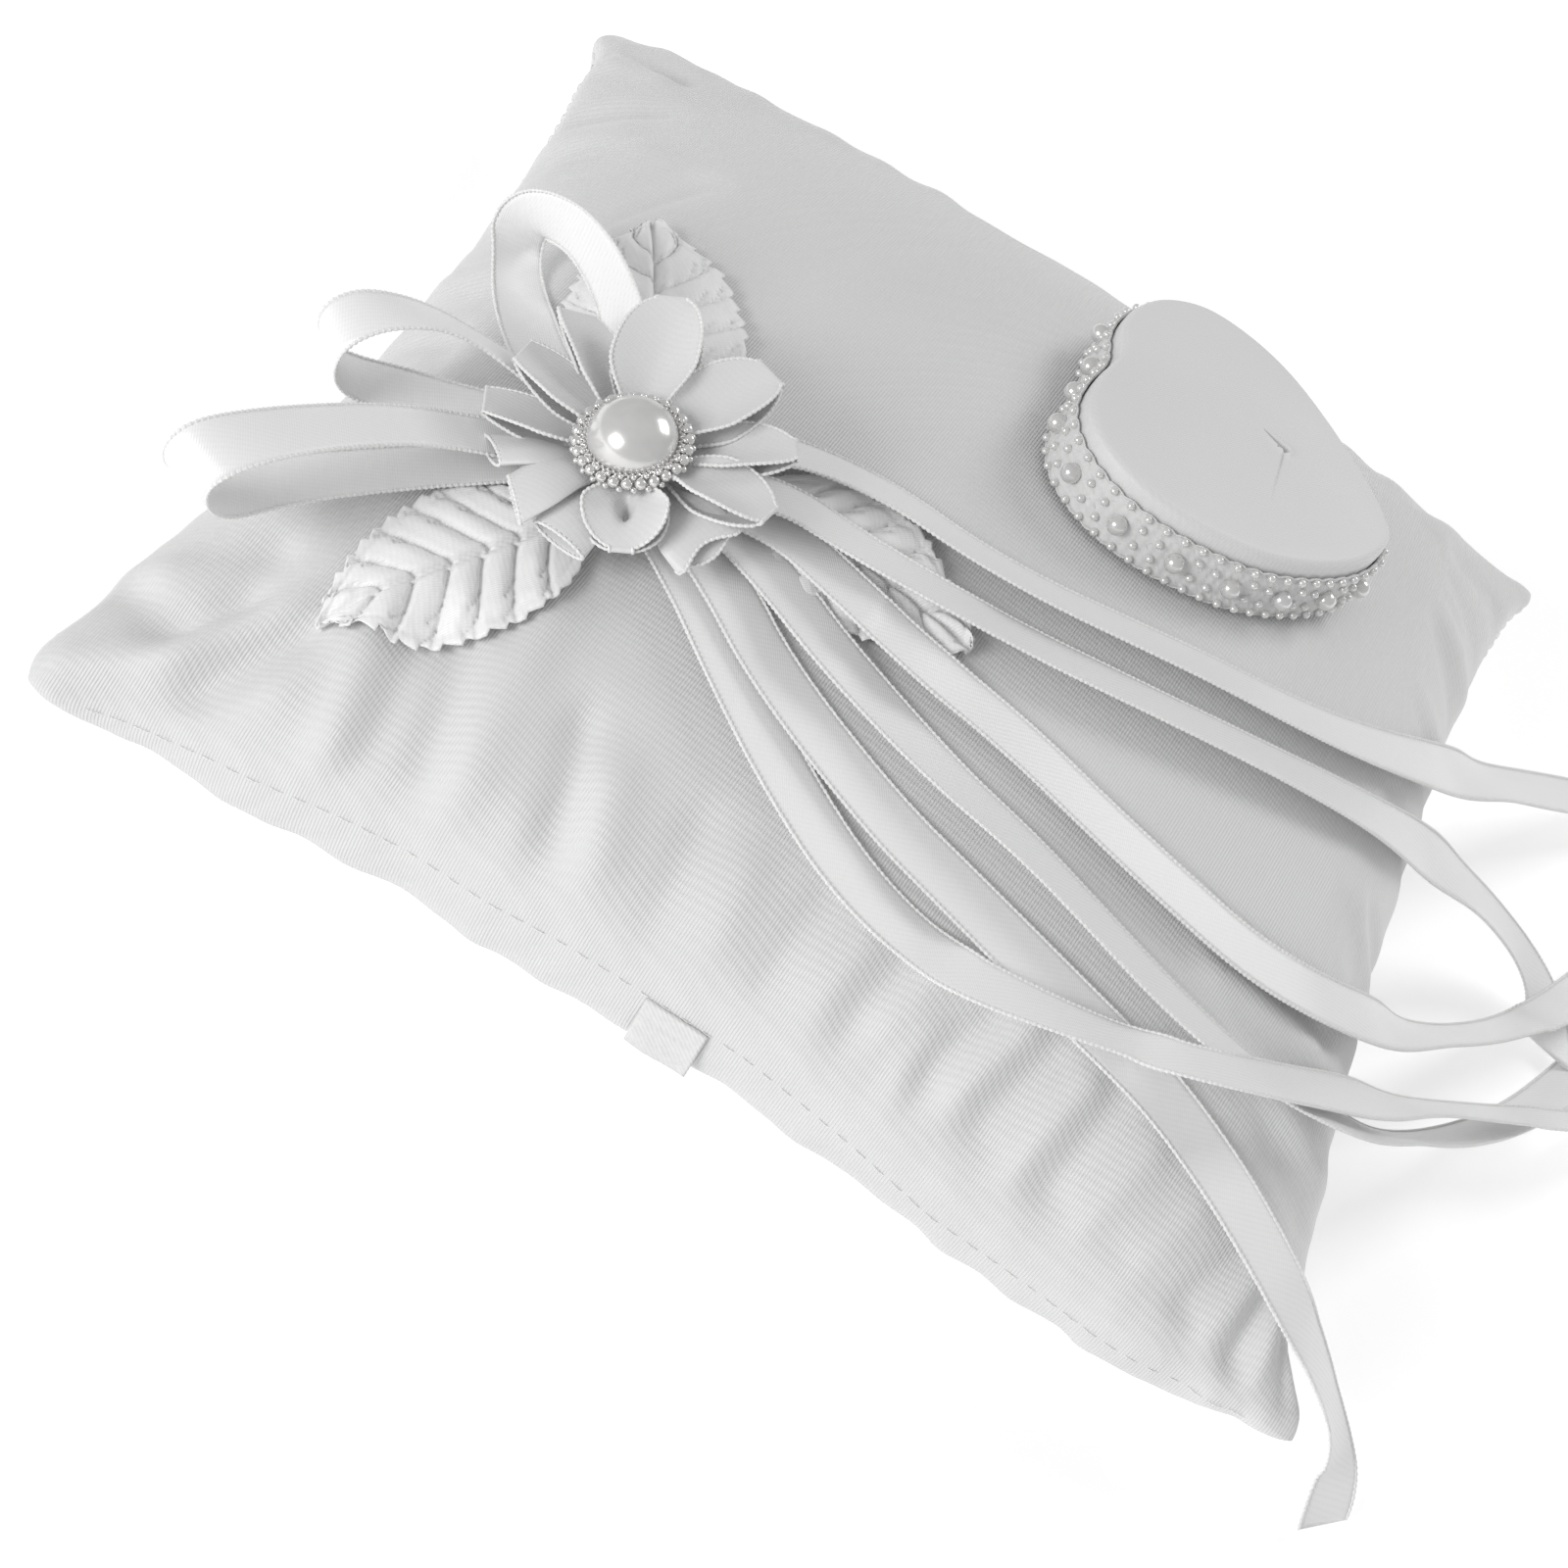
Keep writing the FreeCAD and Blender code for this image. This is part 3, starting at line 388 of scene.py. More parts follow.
# soft folds of the upper panel: two ends, height (minus is a hollow), half width
FOLDS = [
    (-65.0, -80.0, -61.0, -94.0, 1.7, 3.6), (-59.0, -79.0, -57.0, -93.5, -1.5, 3.0),
    (-44.5, -70.0, -43.0, -92.0, 1.9, 4.6), (-53.0, -80.0, -49.0, -92.5, -1.5, 3.3),
    (-33.0, -82.0, -29.0, -93.5, -1.9, 2.8), (-25.0, -86.0, -22.0, -93.5, 1.4, 3.2),
    (-97.0, -85.0, -88.5, -89.0, -1.5, 3.0), (-88.5, -89.0, -83.5, -83.0, -1.7, 3.2),
    (-83.5, -83.0, -83.0, -74.0, -1.3, 3.4), (-94.0, -80.0, -89.0, -70.0, 1.3, 4.0),
    (-97.0, -96.0, -86.0, -92.0, 1.3, 2.8), (-86.0, -92.0, -77.0, -83.0, 1.4, 3.2),
    (-80.0, -95.0, -73.0, -86.0, -1.6, 3.2), (-71.0, -92.0, -68.0, -84.0, 0.8, 3.0),
    (-12.0, -86.0, -11.0, -93.5, -0.9, 3.0), (-3.0, -87.0, -2.0, -93.5, 0.7, 3.0),
    (8.0, -84.0, 7.0, -93.0, -0.8, 2.6), (16.0, -86.0, 15.0, -93.0, 0.8, 2.4),
    (27.0, -84.0, 24.5, -91.0, 1.0, 2.2), (22.0, -85.0, 20.0, -93.0, -0.8, 2.2),
    (41.5, -83.0, 37.8, -92.5, 1.6, 2.2), (36.5, -84.0, 33.0, -92.0, -1.1, 2.0), (46.5, -84.0, 43.0, -92.5, -0.9, 2.2),
    (29.5, -90.0, 29.8, -95.0, 0.9, 1.6), (53.0, -84.5, 50.5, -94.5, 1.2, 2.0), (58.0, -84.0, 56.0, -94.0, -0.9, 2.2),
    (66.0, -86.0, 63.0, -95.0, 0.7, 2.2), (76.0, -88.0, 73.0, -96.0, 0.6, 2.2),
    (88.0, -87.0, 84.5, -98.0, 1.2, 1.5), (92.6, -86.0, 92.4, -98.0, 1.2, 1.5), (90.3, -87.0, 88.5, -98.0, -1.2, 1.3),
    (85.0, -86.0, 80.0, -96.0, -0.9, 1.8), (95.5, -88.0, 97.0, -97.0, -0.9, 1.3),
    (62.0, -59.5, 81.0, -56.0, 1.0, 2.3), (62.0, -54.0, 82.0, -51.0, -0.9, 2.2), (78.0, -68.5, 90.0, -69.5, 0.9, 2.0),
    (70.0, -64.0, 86.0, -63.0, -0.7, 2.0), (86.0, -40.0, 93.0, -38.0, 0.8, 3.0), (86.0, -22.0, 93.0, -21.0, -0.8, 3.0),
    (-78.0, 15.0, -66.0, 36.0, -2.2, 4.5), (-88.0, 40.0, -78.0, 44.0, 1.2, 4.0), (-90.0, 62.0, -80.0, 62.0, -1.2, 4.0),
    (-93.0, 82.0, -84.0, 76.0, 1.0, 3.0), (-86.0, 93.0, -80.0, 84.0, 1.0, 3.0), (-91.0, 88.0, -80.0, 80.0, -1.0, 2.6),
]
for k in range(14):     # quieter puckers on the far and side seams
    at = -78 + 12.0 * k + float(rng.uniform(-3, 3))
    if at < 84:
        FOLDS.append((at, 93.0, at + float(rng.uniform(-4, 4)), 80.0 + float(rng.uniform(-4, 3)), float(rng.choice([-1, 1])) * float(rng.uniform(0.5, 1.0)), 3.4))
        FOLDS.append((93.0, at, 82.0, at + float(rng.uniform(-4, 4)), float(rng.choice([-1, 1])) * float(rng.uniform(0.4, 0.9)), 3.4))
        FOLDS.append((-93.0, at, -83.0, at + float(rng.uniform(-4, 4)), float(rng.choice([-1, 1])) * float(rng.uniform(0.4, 0.9)), 3.6))
UNDER = []
for k in range(17):     # puckers of the back panel below the seam
    at = -84 + 10.5 * k + float(rng.uniform(-3, 3))
    for side in range(4):
        UNDER.append((side, at + float(rng.uniform(-2, 2)), float(rng.choice([-1.0, 1.0])) * float(rng.uniform(0.5, 1.3)), float(rng.uniform(2.2, 4.2))))


def fold_height(x, y):
    h = np.zeros_like(x)
    for x0, y0, x1, y1, amp, w in FOLDS:
        a = np.array([x0, y0])
        d = np.array([x1 - x0, y1 - y0])
        length = np.linalg.norm(d)
        d = d / length
        along = (x - a[0]) * d[0] + (y - a[1]) * d[1]
        side = (x - a[0]) * (-d[1]) + (y - a[1]) * d[0]
        end = np.clip(np.maximum(-along, along - length), 0, None)
        taper = np.exp(-(end / (0.9 * w + 1.0)) ** 2)
        h += 1.2 * amp * np.exp(-(side / w) ** 2) * taper
    return h


def seam_height(x, y):
    """Level of the seam, for a point near it."""
    near = np.interp(x, [-100, -90, -75, -55, -20, 10, 30, 44, 62, 80, 92, 100], [18.0, 17.8, 19.5, 21.6, 22.6, 20.8, 17.2, 14.2, 13.2, 13.2, 14.2, 15.0])
    wn = np.exp(-np.maximum(0, side_at(x) + y) / 16.0)
    far = 20 + 1.0 * np.sin(x / 17.0)
    wf = np.exp(-np.maximum(0, side_at(x) - y) / 16.0)
    right = 19.5 + 1.2 * np.sin(y / 14.0 + 1.0)
    wr = np.exp(-np.maximum(0, side_at(y) - x) / 16.0)
    left = 19.5 + 1.0 * np.sin(y / 16.0 + 2.0)
    wl = np.exp(-np.maximum(0, side_at(y) + x) / 16.0)
    return (near - 20) * wn + (far - 20) * wf * (1 - wn) + (right - 20) * wr * (1 - wn) + (left - 20) * wl * (1 - wn)


HALF_CELLS = 58
steps = np.linspace(-1, 1, 2 * HALF_CELLS + 1)
steps = 0.5 * steps + 0.5 * np.sin(math.pi * steps / 2)
GN = len(steps)
gu, gv = np.meshgrid(steps, steps, indexing="ij")
px = gu * side_at(100 * gv)
py = gv * side_at(100 * gu)
belly_out = np.interp(100 * gu, [-100, -85, -70, -45, -32, -13, 6, 25, 44, 62, 80, 88, 93, 100], [0, 1.5, 3.2, 3.4, 5.2, 5.2, 5.0, 5.2, 5.8, 5.4, 6.2, 4.0, 1.2, 0.5])
toward = np.clip((-gv - 0.45) / 0.55, 0, 1)
py = py - belly_out * toward * toward * (3 - 2 * toward)
side_out = np.interp(100 * gv, [-100, -92, -80, -65, -50, -30, 100], [0, 2.2, 3.6, 3.0, 1.4, 0, 0])
toward = np.clip((-gu - 0.45) / 0.55, 0, 1)
px = px - side_out * toward * toward * (3 - 2 * toward)


def corner_ears(x, y):
    """Blunt sewn tips: the point is turned in a little and the sides come close just behind it."""
    sx, sy = np.sign(x), np.sign(y)
    ax, ay = np.abs(x), np.abs(y)
    d = ((100 - ax) + (100 - ay)) / math.sqrt(2)
    lat = (ax - ay) / math.sqrt(2)
    blunt = np.where((sx > 0) & (sy < 0), -2.6, np.where((sx < 0) & (sy > 0), 1.5, np.where(sx < 0, -1.6, -1.4)))
    neck = np.where((sx > 0) & (sy < 0), 0.24, np.where((sx < 0) & (sy > 0), 0.2, 0.04))
    d2 = d + blunt * np.exp(-(d / np.where(blunt < 0, 5.5, 3.4)) ** 2)
    lat2 = lat * (1 + 0.9 * np.exp(-(d / 3.2) ** 2) - neck * np.exp(-((d - 9.0) / 4.0) ** 2))
    ax2 = 100 - (d2 - lat2) / math.sqrt(2)
    ay2 = 100 - (d2 + lat2) / math.sqrt(2)
    use = d < 22
    return np.where(use, sx * ax2, x), np.where(use, sy * ay2, y)


qx, qy = corner_ears(px, py)
lean_out = np.exp(-(np.hypot(100 - px, 100 + py) / 9.0) ** 2)       # the near right tip is pulled to the side
qx = qx + 1.9 * lean_out
qy = qy + 2.2 * lean_out
au, av = np.abs(gu), np.abs(gv)
rim = np.minimum((1 - au) * 93.5, (1 - av) * 93.5)          # distance in from the seam, mm
top_z = SEAM + (CROWN - SEAM) * np.sqrt(np.maximum(0, 1 - au ** 2.2)) * np.sqrt(np.maximum(0, 1 - av ** 2.2))
top_z = top_z + seam_height(px, py)
fa = np.maximum(0, 1 - au ** 3) ** 0.36
fb = np.maximum(0, 1 - av ** 3) ** 0.36
drop = np.minimum(1.0, 1.22 * fa * fb)
bot_z = (SEAM + seam_height(px, py)) * (1 - drop) + 0.25 * drop


def grid_normals(x, y, z, outward_up=True):
    p = np.stack([x, y, z], -1)
    du = np.gradient(p, axis=0)
    dv = np.gradient(p, axis=1)
    n = unit(np.cross(du, dv))
    return n if outward_up else -n


crinkle_phase = rng.uniform(0, 6.28, 8)


def seam_crinkle(x, y, depth):
    """Small tension puckers that run in from the stitches."""
    run = np.where((1 - au) < (1 - av), y, x)
    c = 0.5 * np.sin(run / 1.15 + crinkle_phase[0]) * np.sin(run / 6.1 + crinkle_phase[1]) + 0.5 * np.sin(run / 1.9 + crinkle_phase[2] + 1.5 * np.sin(run / 9.0))
    return c * 0.22 * np.exp(-(depth / 3.2)) * (1 - np.exp(-(depth / 0.5) ** 2))


inner = 1 - np.exp(-(rim / 1.6) ** 2)
top_n = grid_normals(qx, qy, top_z)
raise_top = fold_height(px, py) * inner + seam_crinkle(px, py, rim)
top_p = np.stack([qx, qy, top_z], -1) + top_n * raise_top[..., None]
under = np.zeros_like(px)
for side, at, amp, w in UNDER:
    run = px if side in (0, 2) else py
    dist = {0: (1 + gv), 1: (1 - gu), 2: (1 - gv), 3: (1 + gu)}[side] * 93.5
    under += amp * np.exp(-((run - at) / w) ** 2) * np.exp(-(dist / 7.0) ** 2)
bot_n = grid_normals(qx, qy, bot_z, False)
bot_p = np.stack([qx, qy, bot_z], -1) + bot_n * ((under * inner + seam_crinkle(px + 31, py + 17, rim)) * np.clip(bot_z / 6.0, 0, 1))[..., None]
# the stitched line sits in a shallow groove
edge = rim <= 0.001
groove = 0.28 * np.exp(-(rim / 0.45) ** 2)
for arr in (top_p, bot_p):
    r = np.sqrt(qx ** 2 + qy ** 2)
    arr[..., 0] -= groove * qx / np.maximum(r, 1)
    arr[..., 1] -= groove * qy / np.maximum(r, 1)
bot_p[edge] = top_p[edge]

index_top = np.arange(GN * GN).reshape(GN, GN)
index_bot = np.full((GN, GN), -1)
inner_mask = np.zeros((GN, GN), bool)
inner_mask[1:-1, 1:-1] = True
index_bot[inner_mask] = GN * GN + np.arange(inner_mask.sum())
index_bot[~inner_mask] = index_top[~inner_mask]
cushion_v = np.concatenate([top_p.reshape(-1, 3), bot_p[inner_mask]])
cushion_f = []
for i in range(GN - 1):
    for j in range(GN - 1):
        cushion_f.append((index_top[i, j], index_top[i + 1, j], index_top[i + 1, j + 1], index_top[i, j + 1]))
        cushion_f.append((index_bot[i, j], index_bot[i, j + 1], index_bot[i + 1, j + 1], index_bot[i + 1, j]))


def simulate(verts, faces, frames=14, pressure=4.0, cap=2.2, shrink=0.985):
    """Blows the sewn cover up from a slightly smaller start, so the folds take the shape that cloth gives them."""
    centre = np.array([0, 0, 22.0])
    start = (verts - centre) * np.array([shrink, shrink, shrink * 0.985]) + centre
    obj = mesh_object("cloth_run", start, faces)
    mod = obj.modifiers.new("Cloth", "CLOTH")
    s = mod.settings
    s.quality = 5
    s.mass = 0.2
    s.tension_stiffness = s.compression_stiffness = 18
    s.shear_stiffness = 6
    s.bending_stiffness = 0.25
    s.use_pressure = True
    s.uniform_pressure_force = pressure
    s.effector_weights.gravity = 0
    mod.collision_settings.use_collision = False
    mod.collision_settings.use_self_collision = False
    mod.point_cache.frame_start = 1
    mod.point_cache.frame_end = frames
    scene = bpy.context.scene
    for f in range(1, frames + 1):
        scene.frame_set(f)
    done = obj.evaluated_get(bpy.context.evaluated_depsgraph_get())
    out = np.empty(len(verts) * 3)
    done.data.vertices.foreach_get("co", out)
    out = out.reshape(-1, 3) / MM
    scene.frame_set(1)
    mesh = obj.data
    bpy.data.objects.remove(obj, do_unlink=True)
    bpy.data.meshes.remove(mesh)
    move = out - verts
    size = np.linalg.norm(move, axis=1, keepdims=True)
    # the four tips stay where they are sewn
    tip = np.hypot(100 - np.abs(verts[:, 0]), 100 - np.abs(verts[:, 1]))
    most = cap * np.clip((tip - 3.0) / 22.0, 0.12, 1.0)[:, None]
    move *= np.minimum(1.0, most / np.maximum(size, 1e-6))
    return verts + move


cushion_v = simulate(cushion_v, cushion_f)

# flat on the table, and pressed down under the ring pad
cushion_v[:, 2] = np.where(cushion_v[:, 2] < 0.6, 0.25 + 0.12 * np.maximum(cushion_v[:, 2] - 0.25, -1), cushion_v[:, 2])
cushion_v[:, 2] = np.maximum(cushion_v[:, 2], 0.05)


def inside_outline(lx, ly, grow=0.0):
    """Signed distance to the pad outline in its own plane, positive inside."""
    poly = OUTLINE[::4]
    a = poly
    b = np.roll(poly, -1, 0)
    lx = np.asarray(lx, float)
    ly = np.asarray(ly, float)
    best = np.full(lx.shape, 1e9)
    odd = np.zeros(lx.shape, bool)
    for (x0, y0), (x1, y1) in zip(a, b):
        ex, ey = x1 - x0, y1 - y0
        t = np.clip(((lx - x0) * ex + (ly - y0) * ey) / (ex * ex + ey * ey), 0, 1)
        best = np.minimum(best, np.hypot(lx - x0 - t * ex, ly - y0 - t * ey))
        cross = ((y0 > ly) != (y1 > ly)) & (lx < (x1 - x0) * (ly - y0) / (y1 - y0 + 1e-12) + x0)
        odd ^= cross
    return np.where(odd, best, -best) + grow


rel = cushion_v - PAD_C
lx, ly = rel @ PAD_X, rel @ PAD_Y
base_gap = rel @ PAD_N + PAD_HIGH          # above the pad's base plane
d_in = inside_outline(lx, ly)
is_top = cushion_v[:, 2] > 30
press = is_top & (d_in > -6) & (base_gap > -2.2)
limit = np.where(d_in > 5, -0.35, -0.35 - 0.5 * np.clip((5 - d_in) / 5, 0, 1.2))
down = np.where(press, np.maximum(0, base_gap - limit), 0) * np.clip((d_in + 6) / 3.0, 0, 1)
cushion_v[:, 2] -= down

cushion = mesh_object("pillow_cover", cushion_v, cushion_f, [M_PILLOW])
sub = cushion.modifiers.new("Smooth", "SUBSURF")
sub.levels = sub.render_levels = 1
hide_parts("front_panel", "back_panel", "fibre_filling")
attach(cushion, "root")

# ---------------------------------------------------------------- height of what lies uppermost, on a fine plan grid
CELL, LOW, COUNT = 0.75, -165.0, 440
field = np.zeros((COUNT, COUNT))


def stamp(points):
    i = np.round((points[:, 0] - LOW) / CELL).astype(int)
    j = np.round((points[:, 1] - LOW) / CELL).astype(int)
    ok = (i >= 0) & (j >= 0) & (i < COUNT) & (j < COUNT)
    np.maximum.at(field, (i[ok], j[ok]), points[ok, 2])


# the upper panel, sampled finely between its grid points
tp = cushion_v[:GN * GN].reshape(GN, GN, 3)
FINE = 5
for a in range(FINE):
    for b in range(FINE):
        s, t = a / FINE, b / FINE
        q = (tp[:-1, :-1] * (1 - s) * (1 - t) + tp[1:, :-1] * s * (1 - t) + tp[:-1, 1:] * (1 - s) * t + tp[1:, 1:] * s * t)
        stamp(q.reshape(-1, 3))


def height(x, y):
    fx = np.clip((np.asarray(x, float) - LOW) / CELL, 0, COUNT - 1.001)
    fy = np.clip((np.asarray(y, float) - LOW) / CELL, 0, COUNT - 1.001)
    i, j = fx.astype(int), fy.astype(int)
    s, t = fx - i, fy - j
    return (field[i, j] * (1 - s) * (1 - t) + field[i + 1, j] * s * (1 - t) + field[i, j + 1] * (1 - s) * t + field[i + 1, j + 1] * s * t)


bare = field.copy()


def smooth1(v, sigma):
    r = int(max(1, round(3 * sigma)))
    k = np.exp(-0.5 * (np.arange(-r, r + 1) / sigma) ** 2)
    k /= k.sum()
    return np.convolve(np.pad(v, r, mode="edge"), k, mode="valid")


def widest(v, r):
    p = np.pad(v, r, mode="edge")
    return np.max(np.stack([p[k:k + len(v)] for k in range(2 * r + 1)]), 0)


# ---------------------------------------------------------------- leaves
def leaf(name, node_name, base, tip, half, camber, seed, lift=0.9, veins=6, curl=0.0):
    base, tip = np.array(base, float), np.array(tip, float)
    axis = tip - base
    length = np.linalg.norm(axis)
    axis /= length
    side = np.array([-axis[1], axis[0]])
    r = np.random.default_rng(seed)
    NF, NS = 150, 45
    f = np.linspace(0.0, 1.0, NF)
    s = np.linspace(-1, 1, NS)
    F, S = np.meshgrid(f, s, indexing="ij")
    outline = np.sin(math.pi * np.clip(f, 0.001, 1) ** 0.85) ** 0.75
    outline = np.maximum(outline, 0.03)
    teeth = 15
    ph = (f * teeth) % 1.0
    tooth = (1.0 - ph) * 1.0 - 0.5
    tooth = np.where(f < 0.08, 0, tooth) * np.clip((1 - f) / 0.03, 0, 1)
    wide = outline[:, None] * half + (tooth[:, None] * 0.9) * np.abs(S) ** 6
    # points near the rim lean towards the tip with each tooth
    along = F * length + 0.55 * tooth[:, None] * np.abs(S) ** 6
    mid = camber * np.sin(math.pi * F)
    x = base[0] + axis[0] * along + side[0] * (S * wide + mid)
    y = base[1] + axis[1] * along + side[1] * (S * wide + mid)
    # pressed veins: each runs out and forward from the midrib
    emboss = np.zeros_like(F)
    for k in range(veins):
        for sg in (-1, 1):
            f0 = 0.10 + 0.80 * k / veins + (0.03 if sg > 0 else 0.0) + float(r.uniform(-0.01, 0.01))
            u = sg * S
            line = f0 + 0.17 * np.clip(u, 0, 1) ** 0.85
            d = (F - line) * length
            on = (u > 0.0)
            emboss += np.where(on, -0.95 * np.exp(-(d / 0.42) ** 2) * np.clip(1.02 - u, 0, 1) ** 0.25, 0)
            # the field between veins puffs up
            emboss += np.where(on, 0.62 * np.exp(-((d - length * 0.065) / (length * 0.042)) ** 2) * np.sin(math.pi * np.clip(u, 0, 1)) ** 0.7, 0)
            # short branch veins
            for q in (0.45, 0.72):
                d2 = (F - (line + 0.05 * (u - q) / 0.25)) * length
                emboss += np.where(on & (u > q) & (u < q + 0.22), -0.5 * np.exp(-(d2 / 0.34) ** 2), 0)
    emboss -= 0.95 * np.exp(-(S * wide / 0.42) ** 2)
    emboss += 0.35 * np.exp(-((np.abs(S * wide) - 1.3) / 0.7) ** 2)
    rimw = (1 - np.abs(S)) * wide
    emboss -= 0.22 * np.exp(-((rimw - 1.7) / 0.35) ** 2)
    wave = 0.6 * np.sin(F * length / 2.4 + 1.5 * np.sign(S) + seed) * np.abs(S) ** 3
    zb = height(x, y)
    z_smooth = np.stack([smooth1(zb[:, k], 6) for k in range(NS)], 1)
    z = np.maximum(zb, z_smooth) + lift + 0.55 + emboss + wave * 0.6 + 0.5 + curl * np.abs(S) ** 2 * np.sin(math.pi * F)
    z = np.maximum(z, zb + 0.35)
    top = np.stack([x, y, z], -1)
    n = grid_normals(x, y, z)
    if n[NF // 2, NS // 2, 2] < 0:
        n = -n
    low = top - n * 0.35
    low[..., 2] = np.maximum(low[..., 2], zb + 0.05)
    b = Build()
    up = n[NF // 2, NS // 2, 2]
    test = np.cross(top[1, 0] - top[0, 0], top[0, 1] - top[0, 0])[2] > 0
    both = np.concatenate([top.reshape(-1, 3), low.reshape(-1, 3)])
    faces = grid_faces(NF, NS, 0, flip=not test)
    faces += grid_faces(NF, NS, NF * NS, flip=test)
    M = NF * NS
    ring = [(i, 0) for i in range(NF)] + [(NF - 1, j) for j in range(1, NS)] + [(i, NS - 1) for i in range(NF - 2, -1, -1)] + [(0, j) for j in range(NS - 2, 0, -1)]
    ids = [i * NS + j for i, j in ring]
    for k in range(len(ids)):
        a, c = ids[k], ids[(k + 1) % len(ids)]
        faces.append((a, a + M, c + M, c) if test else (a, c, c + M, a + M))
    b.add(both, faces, 0)
    obj = b.make(name, [M_LEAF_PAINTED_LIGHT])
    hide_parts(node_name)
    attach(obj, "root")
    stamp(top.reshape(-1, 3))
    return obj


leaf("leaf_left_satin", "leaf_left", (-47.5, -52.0), (-70.5, -83.0), 12.4, 0.0, 3)
leaf("leaf_top_satin", "leaf_top", (-48.0, -36.0), (-65.5, 15.5), 13.4, -1.0, 5, lift=1.1)
leaf("leaf_right_satin", "leaf_right", (-33.0, -38.5), (8.5, -41.5), 12.6, 2.0, 8)

# ---------------------------------------------------------------- ribbons
WIDE = 9.0


def spline_line(points):
    """The smooth line of a route: a curve with the route's points as its control points."""
    curve = bpy.data.curves.new("route", "CURVE")
    curve.dimensions = "3D"
    curve.resolution_u = 24
    s = curve.splines.new("NURBS")
    s.points.add(len(points) - 1)
    for p, c in zip(s.points, points):
        p.co = (c[0], c[1], c[2], 1.0)
    s.order_u = 3
    s.use_endpoint_u = True
    obj = link(bpy.data.objects.new("route", curve))
    mesh = bpy.data.meshes.new_from_object(obj)
    line = np.array([v.co[:] for v in mesh.vertices]) / MM
    bpy.data.objects.remove(obj, do_unlink=True)
    bpy.data.curves.remove(curve)
    bpy.data.meshes.remove(mesh)
    return line


def strip(build, P, W, N, wide, thick=0.24, cup=0.10, slot=0, cut=(0.0, 0.0)):
    """A closed thin band along P, W across and N out of its face. cut[1] slants the far end; cut[0] is not used."""
    m = 9
    q = np.linspace(-1, 1, m)
    tang = unit(np.gradient(P, axis=0))
    rows = []
    slant0 = np.zeros(len(P))
    n = len(P)
    k = np.arange(n)
    for face, sgn in ((0, 1), (1, -1)):
        cols = q if face == 0 else q[::-1]
        for c in cols:
            off = P + W * (c * wide / 2) + N * (sgn * thick / 2 * (1 - 0.55 * abs(c) ** 4) + cup * c * c)
            if cut[1]:
                w = np.exp(-(n - 1 - k) / 3.0)[:, None]
                off = off + tang * np.array([1, 1, 0]) * (c * cut[1]) * w
            rows.append(off)
    ring = np.stack(rows, 1)
    count = ring.shape[1]
    faces = grid_faces(n, count, wrap_cols=True)
    last = (n - 1) * count
    half = m
    for j in range(half - 1):
        faces.append((j, j + 1, count - 2 - j, count - 1 - j))
        faces.append((last + j + 1, last + j, last + count - 1 - j, last + count - 2 - j))
    build.add(ring.reshape(-1, 3), faces, slot)
    return ring


def finish_band(name, node_name, P, W, N, cut=0.0):
    b = Build()
    ring = strip(b, P, W, N, WIDE, cut=(0.0, cut))
    left = P - W * (WIDE / 2 - 0.18) + N * 0.12
    right = P + W * (WIDE / 2 - 0.18) + N * 0.12
    if cut:
        w = np.exp(-(len(P) - 1 - np.arange(len(P))) / 3.0)[:, None]
        tang = unit(np.gradient(P, axis=0)) * np.array([1, 1, 0])
        left = left - tang * cut * w
        right = right + tang * cut * w
    for line in (left, right):
        bead_line(b, line, pitch=0.86, low=0.14, high=0.33, slot=1, sides=5, step=0.215)
    obj = b.make(name, [M_RIBBON_PAINTED_LIGHT, M_EDGE])
    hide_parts(node_name)
    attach(obj, "root")
    real = float(np.linalg.norm(np.diff(P, axis=0), axis=1).sum()) * MM
    return obj, real

